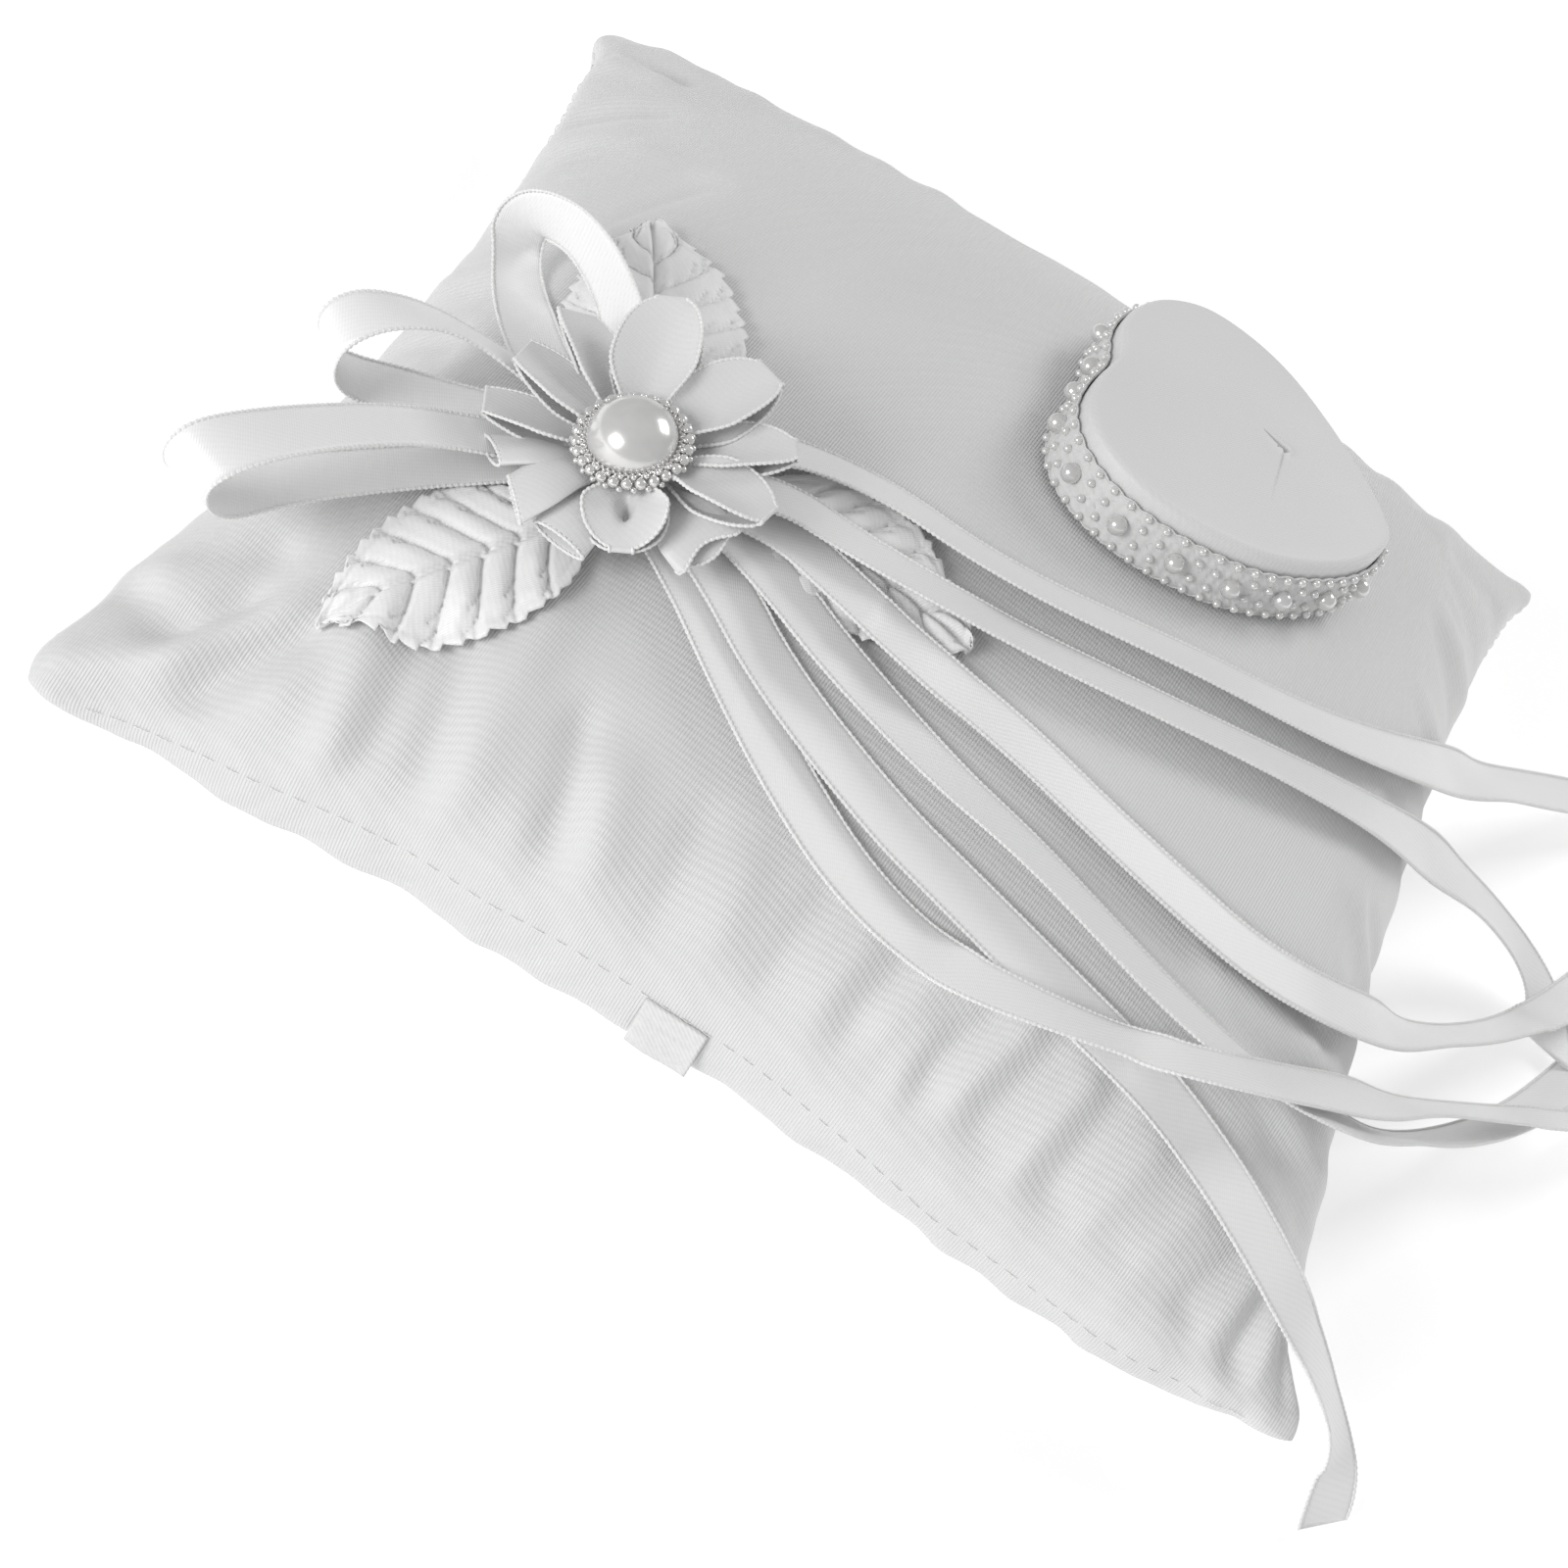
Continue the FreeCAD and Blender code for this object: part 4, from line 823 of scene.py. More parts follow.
# routes of the ribbons, in metres: control points of each smooth line
ROUTES = {
    "streamer_1": [(-0.0400, -0.0470, 0.0550), (-0.0309, -0.0535, 0.0545), (-0.0195, -0.0624, 0.0519), (-0.0056, -0.0716, 0.0483), (0.0099, -0.0785, 0.0441), (0.0261, -0.0813, 0.0419), 
        (0.0430, -0.0790, 0.0426), (0.0598, -0.0748, 0.0426), (0.0761, -0.0663, 0.0408), (0.0945, -0.0486, 0.0305), (0.1137, -0.0264, 0.0170), 
        (0.1332, -0.0053, 0.0060), (0.1473, 0.0064, 0.0018)],
    "streamer_2": [(-0.0370, -0.0450, 0.0560), (-0.0270, -0.0511, 0.0555), (-0.0136, -0.0605, 0.0528), (0.0088, -0.0694, 0.0493), (0.0235, -0.0726, 0.0473), (0.0382, -0.0755, 0.0449), 
        (0.0503, -0.0775, 0.0427), (0.0615, -0.0792, 0.0404), (0.0732, -0.0824, 0.0367), (0.0838, -0.0861, 0.0325), (0.0930, -0.0900, 0.0285), 
        (0.1034, -0.0897, 0.0190), (0.1110, -0.0905, 0.0105), (0.1148, -0.0938, 0.0050), (0.1154, -0.0990, 0.0018)],
    "streamer_3": [(-0.0310, -0.0430, 0.0575), (-0.0206, -0.0469, 0.0570), (-0.0082, -0.0528, 0.0554), (0.0129, -0.0597, 0.0531), (0.0290, -0.0623, 0.0514), (0.0433, -0.0654, 0.0487), 
        (0.0578, -0.0680, 0.0455), (0.0712, -0.0679, 0.0422), (0.0837, -0.0642, 0.0380), (0.0971, -0.0509, 0.0270), (0.1108, -0.0348, 0.0160), 
        (0.1247, -0.0146, 0.0075), (0.1352, 0.0048, 0.0030), (0.1441, 0.0259, 0.0018)],
    "streamer_4": [(-0.0350, -0.0412, 0.0578), (-0.0249, -0.0387, 0.0587), (-0.0110, -0.0428, 0.0583), (0.0048, -0.0466, 0.0570), (0.0207, -0.0490, 0.0559), (0.0357, -0.0520, 0.0538), 
        (0.0506, -0.0537, 0.0510), (0.0649, -0.0536, 0.0473), (0.0771, -0.0485, 0.0425), (0.0897, -0.0376, 0.0340), (0.1030, -0.0208, 0.0220), 
        (0.1153, -0.0041, 0.0130), (0.1275, 0.0149, 0.0060), (0.1381, 0.0349, 0.0024), (0.1457, 0.0532, 0.0018)],
    "streamer_5": [(-0.0365, -0.0390, 0.0582), (-0.0270, -0.0354, 0.0606), (-0.0137, -0.0359, 0.0602), (0.0009, -0.0350, 0.0598), (0.0171, -0.0331, 0.0591), (0.0314, -0.0300, 0.0582), 
        (0.0455, -0.0258, 0.0563), (0.0586, -0.0205, 0.0532), (0.0729, -0.0124, 0.0475), (0.0879, 0.0011, 0.0360), (0.1033, 0.0153, 0.0225), 
        (0.1152, 0.0225, 0.0130), (0.1240, 0.0238, 0.0070), (0.1301, 0.0204, 0.0032), (0.1331, 0.0132, 0.0018)],
    "streamer_6": [(-0.0390, -0.0355, 0.0582), (-0.0310, -0.0285, 0.0614), (-0.0217, -0.0252, 0.0617), (-0.0106, -0.0242, 0.0620), (0.0016, -0.0248, 0.0613), (0.0148, -0.0230, 0.0603), 
        (0.0285, -0.0197, 0.0595), (0.0426, -0.0151, 0.0576), (0.0569, -0.0094, 0.0541), (0.0710, 0.0002, 0.0485), (0.0867, 0.0192, 0.0370), 
        (0.1036, 0.0438, 0.0220), (0.1208, 0.0656, 0.0110), (0.1366, 0.0822, 0.0036), (0.1495, 0.0902, 0.0018)],
    "bow_loop_1": [(-0.0539, -0.0417, 0.0529), (-0.0612, -0.0476, 0.0503), (-0.0711, -0.0549, 0.0473), (-0.0813, -0.0651, 0.0460), (-0.0877, -0.0721, 0.0445), 
        (-0.0912, -0.0796, 0.0455), (-0.0933, -0.0848, 0.0495), (-0.0941, -0.0871, 0.0545), (-0.0925, -0.0864, 0.0590), (-0.0889, -0.0812, 0.0605), 
        (-0.0827, -0.0705, 0.0590), (-0.0754, -0.0587, 0.0560), (-0.0668, -0.0495, 0.0533), (-0.0575, -0.0456, 0.0542)],
    "bow_loop_2": [(-0.0556, -0.0370, 0.0533), (-0.0622, -0.0396, 0.0515), (-0.0715, -0.0426, 0.0498), (-0.0797, -0.0447, 0.0485), (-0.0856, -0.0476, 0.0485), 
        (-0.0893, -0.0511, 0.0515), (-0.0907, -0.0535, 0.0565), (-0.0899, -0.0525, 0.0610), (-0.0861, -0.0487, 0.0635), (-0.0794, -0.0420, 0.0620), 
        (-0.0698, -0.0368, 0.0575), (-0.0587, -0.0367, 0.0560)],
    "bow_loop_3": [(-0.0521, -0.0345, 0.0583), (-0.0547, -0.0276, 0.0603), (-0.0593, -0.0193, 0.0610), (-0.0659, -0.0124, 0.0615), (-0.0725, -0.0072, 0.0605), (-0.0782, -0.0040, 0.0575), (-0.0812, -0.0014, 0.0525), (-0.0808, -0.0020, 0.0485), (-0.0771, -0.0076, 0.0465), (-0.0715, -0.0179, 0.0487), (-0.0636, -0.0283, 0.0511), (-0.0556, -0.0340, 0.0532)],
}

# how far each streamer leans over along its length, degrees, one value per control point
LEAN = {
    "streamer_1": [-6, -10, -14, -20, -30, -44, -36, -33, -33, -38, -36, -34, -32],
    "streamer_2": [-6, -10, -11, -12, -12, -11, -10, -10, -10, -8, -4, 0, -6, -14, -20],
    "streamer_3": [-6, -13, -17, -28, -32, -30, -34, -42, -44, -40, -36, -36, -32, -20],
    "streamer_4": [-8, -12, -12, -12, -12, -9, -6, -9, -17, -28, -34, -38, -28, -10, -4],
    "streamer_5": [-10, -18, -21, -24, -22, -22, -21, -18, -12, -4, 8, 10, 6, -2, -4],
    "streamer_6": [-10, -20, -24, -24, -22, -19, -16, -12, -9, -6, -4, 0, 0, 0, 0],
}
R3, U3, B3 = np.array(CAM_R), np.array(CAM_U), np.array(CAM_B)
EYE = np.array(CAM_C) / MM


def along(values, count):
    v = np.asarray(values, float)
    t = np.linspace(0, len(v) - 1, count)
    if v.ndim == 1:
        return np.interp(t, np.arange(len(v)), v)
    return np.stack([np.interp(t, np.arange(len(v)), v[:, k]) for k in range(v.shape[1])], 1)


def drape(P, W, half, gap, window=7, sigma=3.6, most=None):
    """Raises the line, leaning forward as it rises, where the band would pass through what it lies on."""
    raised = np.zeros(len(P))
    front = unit(EYE - P)
    front = front / front[:, 2:]
    for turn in range(4):
        out = P + front * raised[:, None]
        need = np.full(len(P), -9.0)
        for c in np.linspace(-1, 1, 9):
            q = out + W * half * c
            need = np.maximum(need, height(q[:, 0], q[:, 1]) + gap - q[:, 2])
        raised = np.maximum(raised + 0.8 * need, 0)
    raised = smooth1(widest(raised, window), sigma)
    if most is not None:
        raised = np.minimum(raised, most)
    return P + front * raised[:, None]


def stamp_band(P, W, half):
    for c in np.linspace(-1, 1, 25):
        q = P + W * half * c
        q = q.copy()
        q[:, 2] += 0.2 if abs(c) < 0.8 else 0.45
        stamp(q)
        stamp(0.5 * (q[1:] + q[:-1]))


CORDS = {}
shapes = {}


def streamer_frame(name):
    P, t = resample(spline_line(ROUTES[name]), 0.9)
    T = unit(np.gradient(P, axis=0))
    lean = np.radians(smooth1(along(LEAN[name], len(P)), 6.0))
    over = np.clip((P[:, 2] - 14) / 10, 0, 1) * (np.abs(P[:, 0]) < 97) * (np.abs(P[:, 1]) < 97)
    nn = upper_normal(np.clip(P[:, 0], -90, 90), np.clip(P[:, 1], -84, 90))
    up = unit(nn * (0.75 * over)[:, None] + np.array([0, 0, 1.0]) * (1 - 0.75 * over)[:, None])
    up = np.stack([smooth1(up[:, k], 8) for k in range(3)], 1)
    W = unit(np.cross(up, T))
    N = np.cross(T, W)
    return P, t, W * np.cos(lean)[:, None] + N * np.sin(lean)[:, None]


def settle(name, part=None):
    """Lies a streamer on what is under it; near the flower the stack is pressed flat."""
    P, t, W = streamer_frame(name)
    P2 = drape(P, W, WIDE / 2, 0.34, most=np.interp(t, [0, 14, 30, 60], [0.6, 1.6, 3.4, 9.0]))
    if part is not None:
        stamp_band(P2[:part], W[:part], WIDE / 2)
    return P, t, W, P2


# the near one lies lowest by the flower, each next one laps over it; further out the near one crosses on top
P, t, W, first = settle("streamer_1", part=60)
for name in ("streamer_2", "streamer_3", "streamer_5", "streamer_6", "streamer_4"):
    P, t, W, P2 = settle(name)
    shapes[name] = (P2, W)
    stamp_band(P2, W, WIDE / 2)
P, t, W, last_pass = settle("streamer_1")
blend_in = np.clip((t - 50) / 22.0, 0, 1)
blend_in = blend_in * blend_in * (3 - 2 * blend_in)
P2 = first * (1 - blend_in)[:, None] + last_pass * blend_in[:, None]
shapes["streamer_1"] = (P2, W)
stamp_band(P2, W, WIDE / 2)
for name, (P2, W2) in shapes.items():
    T2 = unit(np.gradient(P2, axis=0))
    W3 = unit(W2 - T2 * np.sum(W2 * T2, 1, keepdims=True))
    N3 = np.cross(T2, W3)
    cut = {"streamer_2": -3.2, "streamer_5": 3.2}.get(name, 0.0)
    obj, real = finish_band(name + "_ribbon", name, P2, W3, N3, cut)
    CORDS[name] = real

# width directions of the bow loops in view-plane parts (right, up, towards the viewer), spread along each loop
TURN = {
    "bow_loop_1": [(0.30, -0.80, 0.52), (0.25, -0.76, 0.60), (0.22, -0.72, 0.62), (0.30, -0.74, 0.55), (0.50, -0.74, 0.40), (0.69, -0.72, 0.1),
                   (0.69, -0.72, 0.0), (0.60, -0.74, 0.15), (0.35, -0.72, 0.55), (0.15, -0.62, 0.75), (0.05, -0.58, 0.81), (0.05, -0.62, 0.78), (0.12, -0.70, 0.70)],
    "bow_loop_2": [(0.25, -0.78, 0.58), (0.22, -0.76, 0.60), (0.22, -0.76, 0.60), (0.25, -0.80, 0.52), (0.28, -0.85, 0.42), (0.30, -0.87, 0.38),
                   (0.30, -0.85, 0.40), (0.36, -0.66, 0.62), (0.36, -0.50, 0.78), (0.34, -0.46, 0.80), (0.30, -0.55, 0.75), (0.25, -0.65, 0.70)],
    "bow_loop_3": [(-0.70, -0.15, -0.68), (-0.68, -0.02, -0.70), (-0.66, 0.0, -0.72), (-0.62, -0.10, -0.76), (-0.45, -0.45, -0.74), (0.05, -0.72, -0.69),
                   (0.55, -0.60, -0.55), (0.88, -0.15, -0.42), (0.94, 0.0, -0.32), (0.92, 0.10, -0.35), (0.85, 0.20, -0.45), (0.75, 0.25, -0.55)],
}
for name in ("bow_loop_3", "bow_loop_2", "bow_loop_1"):
    line = spline_line(ROUTES[name])
    P, t = resample(line, 0.7)
    T = unit(np.gradient(P, axis=0))
    turn = along(TURN[name], len(P))
    turn = np.stack([smooth1(turn[:, k], 5) for k in range(3)], 1)
    W = turn[:, :1] * R3 + turn[:, 1:2] * U3 + turn[:, 2:] * B3
    W = unit(W - T * np.sum(W * T, 1, keepdims=True))
    n = len(P)
    low = drape(P, W, WIDE / 2, 0.25)
    P2 = low
    T2 = unit(np.gradient(P2, axis=0))
    W = unit(W - T2 * np.sum(W * T2, 1, keepdims=True))
    W = np.stack([smooth1(W[:, k], 3) for k in range(3)], 1)
    W = unit(W - T2 * np.sum(W * T2, 1, keepdims=True))
    N = np.cross(T2, W)
    obj, real = finish_band(name + "_ribbon", name, P2, W, N)
    CORDS[name] = real

# ---------------------------------------------------------------- flower
FL = np.array([-43.0, -45.0, 52.595])
FA = np.array([-0.27883, -0.24165, 0.92944])
FX = np.array([0.96034, -0.07016, 0.26986])
FY = np.array([0.0, 0.96782, 0.25163])


def flower_at(r, deg, h):
    w = math.radians(deg)
    return FL + FX * (r * math.cos(w)) + FY * (r * math.sin(w)) + FA * h


def radial(deg):
    w = math.radians(deg)
    out = FX * math.cos(w) + FY * math.sin(w)
    return out, np.cross(FA, out)


def smoothstep(x):
    x = np.clip(x, 0, 1)
    return x * x * (3 - 2 * x)


def loop_petal(name, node_name, deg, r_tip, h_tip, half, tip_half, roll=0.0, cup=2.0, opening=2.4, h0=10.5, rise=1.2, bow=0.0, tip_lift=0.0, skew=0.0, r0=4.6, edge_curl=0.0, hollow=0.0):
    """One petal: the ribbon runs out from the middle, turns at the tip and comes back underneath."""
    out, tan = radial(deg)
    rl = math.radians(roll)
    side = tan * math.cos(rl) + FA * math.sin(rl)
    upn = FA * math.cos(rl) - tan * math.sin(rl)
    L = r_tip - r0
    n1, n2, n3 = 44, 14, 30
    base = FL + out * r0 + FA * h0
    pts, wid, cups = [], [], []
    turn_r = 0.42
    for k in range(n1):                                   # upper run
        f = k / (n1 - 1)
        r = f * (L - turn_r)
        hh = (h_tip - h0) * f + rise * math.sin(math.pi * f) + tip_lift * f ** 4
        lat = bow * math.sin(math.pi * f)
        w = (0.34 + 0.66 * smoothstep(f / 0.5)) * half if f < 0.5 else half * math.sqrt(1 - ((f - 0.5) / 0.5) ** 2.4 * (1 - (tip_half / half) ** 2))
        pts.append((r, lat, hh))
        wid.append(w)
        cups.append(cup * math.sin(math.pi * min(1, 0.12 + f * 0.9)) ** 0.8)
    top_end = pts[-1]
    for k in range(1, n2 + 1):                            # the turn at the tip
        a = math.pi * k / n2
        pts.append((top_end[0] + turn_r * math.sin(a), top_end[1], top_end[2] - turn_r * (1 - math.cos(a))))
        wid.append(tip_half)
        cups.append(cups[n1 - 1])
    low_end = pts[-1]
    for k in range(1, n3 + 1):                            # lower run
        f = 1 - k / n3
        r = low_end[0] * f
        hh = low_end[2] * f - 1.2 * (1 - f) + (rise - opening) * math.sin(math.pi * f) ** 0.8
        lat = bow * math.sin(math.pi * f)
        w = (0.34 + 0.66 * smoothstep(f / 0.5)) * half if f < 0.5 else half * math.sqrt(1 - ((f - 0.5) / 0.5) ** 2.4 * (1 - (tip_half / half) ** 2))
        pts.append((r, lat, hh))
        wid.append(w)
        cups.append(cup * math.sin(math.pi * min(1, 0.12 + f * 0.9)) ** 0.8)
    pts = np.array(pts)
    wid = np.array(wid)
    cups = np.array(cups)
    C = FL + out * r0 + out * pts[:, :1] + side * pts[:, 1:2] + FA * 0
    C = C + (FA * 1.0) * h0 + FA * (pts[:, 2:] - 0.0)
    q = np.linspace(-1, 1, 21)
    S = C[:, None, :] + side * (q[None, :, None] * wid[:, None, None]) + upn * ((cups[:, None] * (q[None, :] ** 2) ** 0.9)[..., None])
    S = S + out * (skew * q[None, :, None] * smoothstep((pts[:, 0] / max(L, 1))[:, None, None]))
    if hollow:
        run = np.arange(len(pts))
        dip = hollow * np.exp(-((pts[:, 0] - 4.9) / 1.7) ** 2) * (run < n1)
        S = S - upn * (dip[:, None] * np.exp(-((q[None, :] * wid[:, None]) / 0.85) ** 2))[..., None]
    # the rims roll in a little
    S = S - side * (np.sign(q) * edge_curl * np.abs(q) ** 6)[None, :, None]
    return S, side, upn, out, name, node_name


def band_from_surface(name, node_names, S, thick=0.26, edges=("a", "b"), close=False, bead=0.33):
    """A thin closed sheet from a grid of points: rows run along the ribbon, columns across."""
    rows, cols = S.shape[:2]
    du = np.gradient(S, axis=0)
    dv = np.gradient(S, axis=1)
    n = unit(np.cross(du, dv))
    a = S + n * thick / 2
    b = S - n * thick / 2
    bld = Build()
    M = rows * cols
    v = np.concatenate([a.reshape(-1, 3), b.reshape(-1, 3)])
    faces = grid_faces(rows, cols, 0)
    faces += grid_faces(rows, cols, M, flip=True)
    ring = [(i, 0) for i in range(rows)] + [(rows - 1, j) for j in range(1, cols)] + [(i, cols - 1) for i in range(rows - 2, -1, -1)] + [(0, j) for j in range(cols - 2, 0, -1)]
    ids = [i * cols + j for i, j in ring]
    for k in range(len(ids)):
        p, q = ids[k], ids[(k + 1) % len(ids)]
        faces.append((p, p + M, q + M, q))
    # outward faces: the first grid looks along n
    test = np.dot(np.cross(S[1, 0] - S[0, 0], S[1, 1] - S[0, 0]), n[0, 0])
    if test < 0:
        faces = [f[::-1] for f in faces]
    bld.add(v, faces, 0)
    lines = []
    if "a" in edges:
        lines.append(S[:, 0])
    if "b" in edges:
        lines.append(S[:, -1])
    if "end" in edges:
        lines.append(S[-1, :])
    for l in lines:
        bead_line(bld, l, pitch=0.86, low=0.17, high=bead, slot=1, sides=5, step=0.215)
    obj = bld.make(name, [M_PETAL, M_EDGE])
    if node_names:
        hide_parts(*node_names)
    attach(obj, "root")
    return obj


def flute_petal(deg, r_tip, h_tip, half, thick_half, roll=0.0, h0=9.5, r0=5.0, skew=0.0, belly=0.8, wave=0.0):
    """One petal gathered as a flute: a flattened tube, closed at the middle, its woven edge round the open outer end."""
    out, tan = radial(deg)
    rl = math.radians(roll)
    side = tan * math.cos(rl) + FA * math.sin(rl)
    upn = FA * math.cos(rl) - tan * math.sin(rl)
    rows, cols = 30, 44
    f = np.linspace(0, 1, rows)
    a = np.linspace(0, 2 * math.pi, cols)                 # the last column meets the first
    a = a[:-1]
    F, A = np.meshgrid(f, a, indexing="ij")
    hw = half * (0.42 + 0.58 * smoothstep(F / 0.75))
    hh = thick_half * (0.25 + 0.75 * F ** 0.8)
    X = np.cos(A)
    Z = np.sin(A)
    lens = np.sign(Z) * np.abs(Z) ** 1.25
    r = r0 + F * (r_tip - r0) + skew * X * smoothstep(F) + wave * np.sin(3 * A) * F ** 4
    hgt = h0 + F * (h_tip - h0) + belly * np.sin(math.pi * F)
    S = FL + out * r[..., None] + FA * hgt[..., None] + side * (X * hw)[..., None] + upn * (lens * hh)[..., None]
    return S


def tube_object(name, node_names, S, thick=0.26, bead=0.33):
    rows, cols = S.shape[:2]
    du = np.gradient(S, axis=0)
    dv = np.roll(S, -1, 1) - np.roll(S, 1, 1)
    n = unit(np.cross(dv, du))
    centre = S.mean(axis=1, keepdims=True)
    if np.mean(np.sum(n * (S - centre), -1)) < 0:
        n = -n
        flip = True
    else:
        flip = False
    a = S
    b = S - n * thick
    M = rows * cols
    faces = grid_faces(rows, cols, 0, wrap_cols=True)
    faces += grid_faces(rows, cols, M, wrap_cols=True, flip=True)
    last = (rows - 1) * cols
    for j in range(cols):
        k = (j + 1) % cols
        faces.append((last + j, last + M + j, last + M + k, last + k))
        faces.append((j, k, k + M, j + M))
    test = np.dot(np.cross(S[2, 1] - S[1, 0], S[1, 1] - S[2, 0]), n[1, 0])
    bld = Build()
    if test > 0:
        faces = [g[::-1] for g in faces]
    bld.add(np.concatenate([a.reshape(-1, 3), b.reshape(-1, 3)]), faces, 0)
    bead_line(bld, S[-1] - n[-1] * thick * 0.5, pitch=0.86, low=0.17, high=bead, slot=1, closed=True, sides=5, step=0.215)
    obj = bld.make(name, [M_PETAL, M_EDGE])
    if node_names:
        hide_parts(*node_names)
    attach(obj, "root")
    return obj


def add_loop(name, nodes, *args, **kw):
    S = loop_petal(name, None, *args, **kw)[0]
    return band_from_surface(name, nodes, S)


# lower round
add_loop("petal_east_low", ["petal_03"], 28, 22.9, 12.2, 5.0, 2.2, roll=-14, cup=1.9, opening=2.0, h0=8.6, rise=0.6)
add_loop("petal_northwest_outer", ["petal_01"], 134, 26.6, 12.6, 5.1, 3.4, roll=34, cup=0.6, opening=2.2, h0=9.6, rise=0.8, bow=-1.2)
tube_object("petal_southeast_low", ["petal_04"], flute_petal(-27, 17.4, 7.6, 5.4, 1.2, roll=10, h0=8.4, wave=0.7))
add_loop("petal_west_outer", ["petal_02"], 179, 23.6, 10.4, 4.7, 3.6, roll=26, cup=0.7, opening=2.2, h0=9.4, rise=0.7, skew=-1.6)
tube_object("petal_southwest_low", ["petal_05"], flute_petal(-100, 16.8, 9.2, 4.4, 1.5, roll=-12, h0=8.4, belly=1.4))
tube_object("petal_west_low", ["petal_06"], flute_petal(-160, 19.8, 9.4, 4.9, 1.5, roll=30, h0=8.6, skew=-2.0, belly=1.2))
# upper round
add_loop("petal_north", ["petal_07"], 104, 26.0, 16.0, 6.2, 2.2, roll=-6, cup=2.6, opening=2.6, h0=10.8, rise=-0.4)
add_loop("petal_northeast", ["petal_08"], 60, 23.4, 14.2, 5.7, 2.8, roll=-4, cup=2.4, opening=2.6, h0=10.8, rise=-0.2)
add_loop("petal_southeast", ["petal_09"], -4, 21.8, 12.2, 5.6, 2.4, roll=-20, cup=1.7, opening=3.4, h0=10.8, rise=1.1)
add_loop("petal_south", ["petal_10"], -69, 15.9, 10.2, 6.3, 2.0, roll=0, cup=1.9, opening=2.0, h0=11.2, rise=1.0, edge_curl=0.4, hollow=3.8)
tube_object("petal_southwest", ["petal_11"], flute_petal(-128, 17.9, 10.8, 5.0, 1.6, roll=10, h0=10.4, belly=1.6, skew=1.2))
add_loop("petal_northwest", ["petal_12"], 158, 23.6, 13.2, 4.9, 3.2, roll=28, cup=0.8, opening=2.2, h0=10.8, rise=0.8, skew=-1.5)

# ---------------------------------------------------------------- the setting: fluted collar, beads and half pearl
b = Build()
NR = 96
prof = [(5.4, 12.5), (6.1, 12.7), (6.7, 13.1), (7.0, 13.7), (7.15, 14.6), (7.05, 15.2), (6.85, 15.35), (6.65, 15.2), (6.55, 14.8), (5.4, 14.5)]
rows = []
for r, h in prof:
    a = np.linspace(0, 2 * math.pi, NR * 4, endpoint=False)
    fl = 1 + 0.035 * np.cos(a * 48) * (1 if 5.8 < r else 0)
    rr = r * fl
    rows.append(FL + FX * (rr * np.cos(a))[:, None] + FY * (rr * np.sin(a))[:, None] + FA * h)
ring = np.stack(rows, 0)
b.add(ring.reshape(-1, 3), grid_faces(len(prof), NR * 4, wrap_rows=True, wrap_cols=True, flip=True), 0)
collar = b.make("setting_collar", [M_SILVER])
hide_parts("setting_cup")
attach(collar, "root")

b = Build()
for k in range(26):
    w = 360.0 * k / 26
    sphere(b, flower_at(7.75, w, 14.35), 0.86, 0, 20, 14, FA)
    sphere(b, flower_at(7.35, w + 6.9, 15.25), 0.40, 0, 12, 8, FA)
    sphere(b, flower_at(8.35, w + 6.9, 13.7), 0.48, 0, 12, 8, FA)
beads = b.make("setting_bead_ring", [M_SILVER])
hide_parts("setting_beads")
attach(beads, "root")

b = Build()
rows = []
prof = [(5.9, 14.0), (6.3, 14.3)] + [(6.4 * math.cos(w), 14.6 + 5.6 * math.sin(w)) for w in np.linspace(0.02, math.pi / 2 - 0.04, 30)]
for r, h in prof:
    a = np.linspace(0, 2 * math.pi, 72, endpoint=False)
    rows.append(FL + FX * (r * np.cos(a))[:, None] + FY * (r * np.sin(a))[:, None] + FA * h)
ring = np.stack(rows, 0)
faces = grid_faces(len(prof), 72, wrap_cols=True, flip=True)
last = (len(prof) - 1) * 72
faces.append(tuple(last + k for k in range(72)))
faces.append(tuple(k for k in range(72))[::-1])
b.add(ring.reshape(-1, 3), faces, 0)
cab = b.make("half_pearl", [M_PEARL])
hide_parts("pearl_cabochon")
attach(cab, "root")

# ---------------------------------------------------------------- ring pad
def pad_point(x, y, level):
    """level is up from the pad's base plane."""
    x, y, level = np.asarray(x, float), np.asarray(y, float), np.asarray(level, float)
    return PAD_C + PAD_X * x[..., None] + PAD_Y * y[..., None] + PAD_N * (level - PAD_HIGH)[..., None]


def offset_outline(poly, d):
    t = unit(np.roll(poly, -1, 0) - np.roll(poly, 1, 0))
    n = np.stack([t[:, 1], -t[:, 0]], 1)
    return poly + n * d, n


dense = OUTLINE
s_len = np.concatenate([[0], np.cumsum(np.linalg.norm(np.diff(np.vstack([dense, dense[:1]]), axis=0), axis=1))])
PERIM = s_len[-1]


def outline_at(s, d=0.0):
    s = np.mod(np.asarray(s, float), PERIM)
    ring = np.vstack([dense, dense[:1]])
    x = np.interp(s, s_len, ring[:, 0])
    y = np.interp(s, s_len, ring[:, 1])
    e = 0.6
    x1, y1 = np.interp(np.mod(s + e, PERIM), s_len, ring[:, 0]), np.interp(np.mod(s + e, PERIM), s_len, ring[:, 1])
    x0, y0 = np.interp(np.mod(s - e, PERIM), s_len, ring[:, 0]), np.interp(np.mod(s - e, PERIM), s_len, ring[:, 1])
    t = unit(np.stack([x1 - x0, y1 - y0], -1))
    n = np.stack([t[..., 1], -t[..., 0]], -1)
    return np.stack([x, y], -1) + n * np.asarray(d, float)[..., None], n


test_p, test_n = outline_at(np.array([0.0]))
OUT = 1.0 if np.dot(test_n[0], test_p[0]) > 0 else -1.0


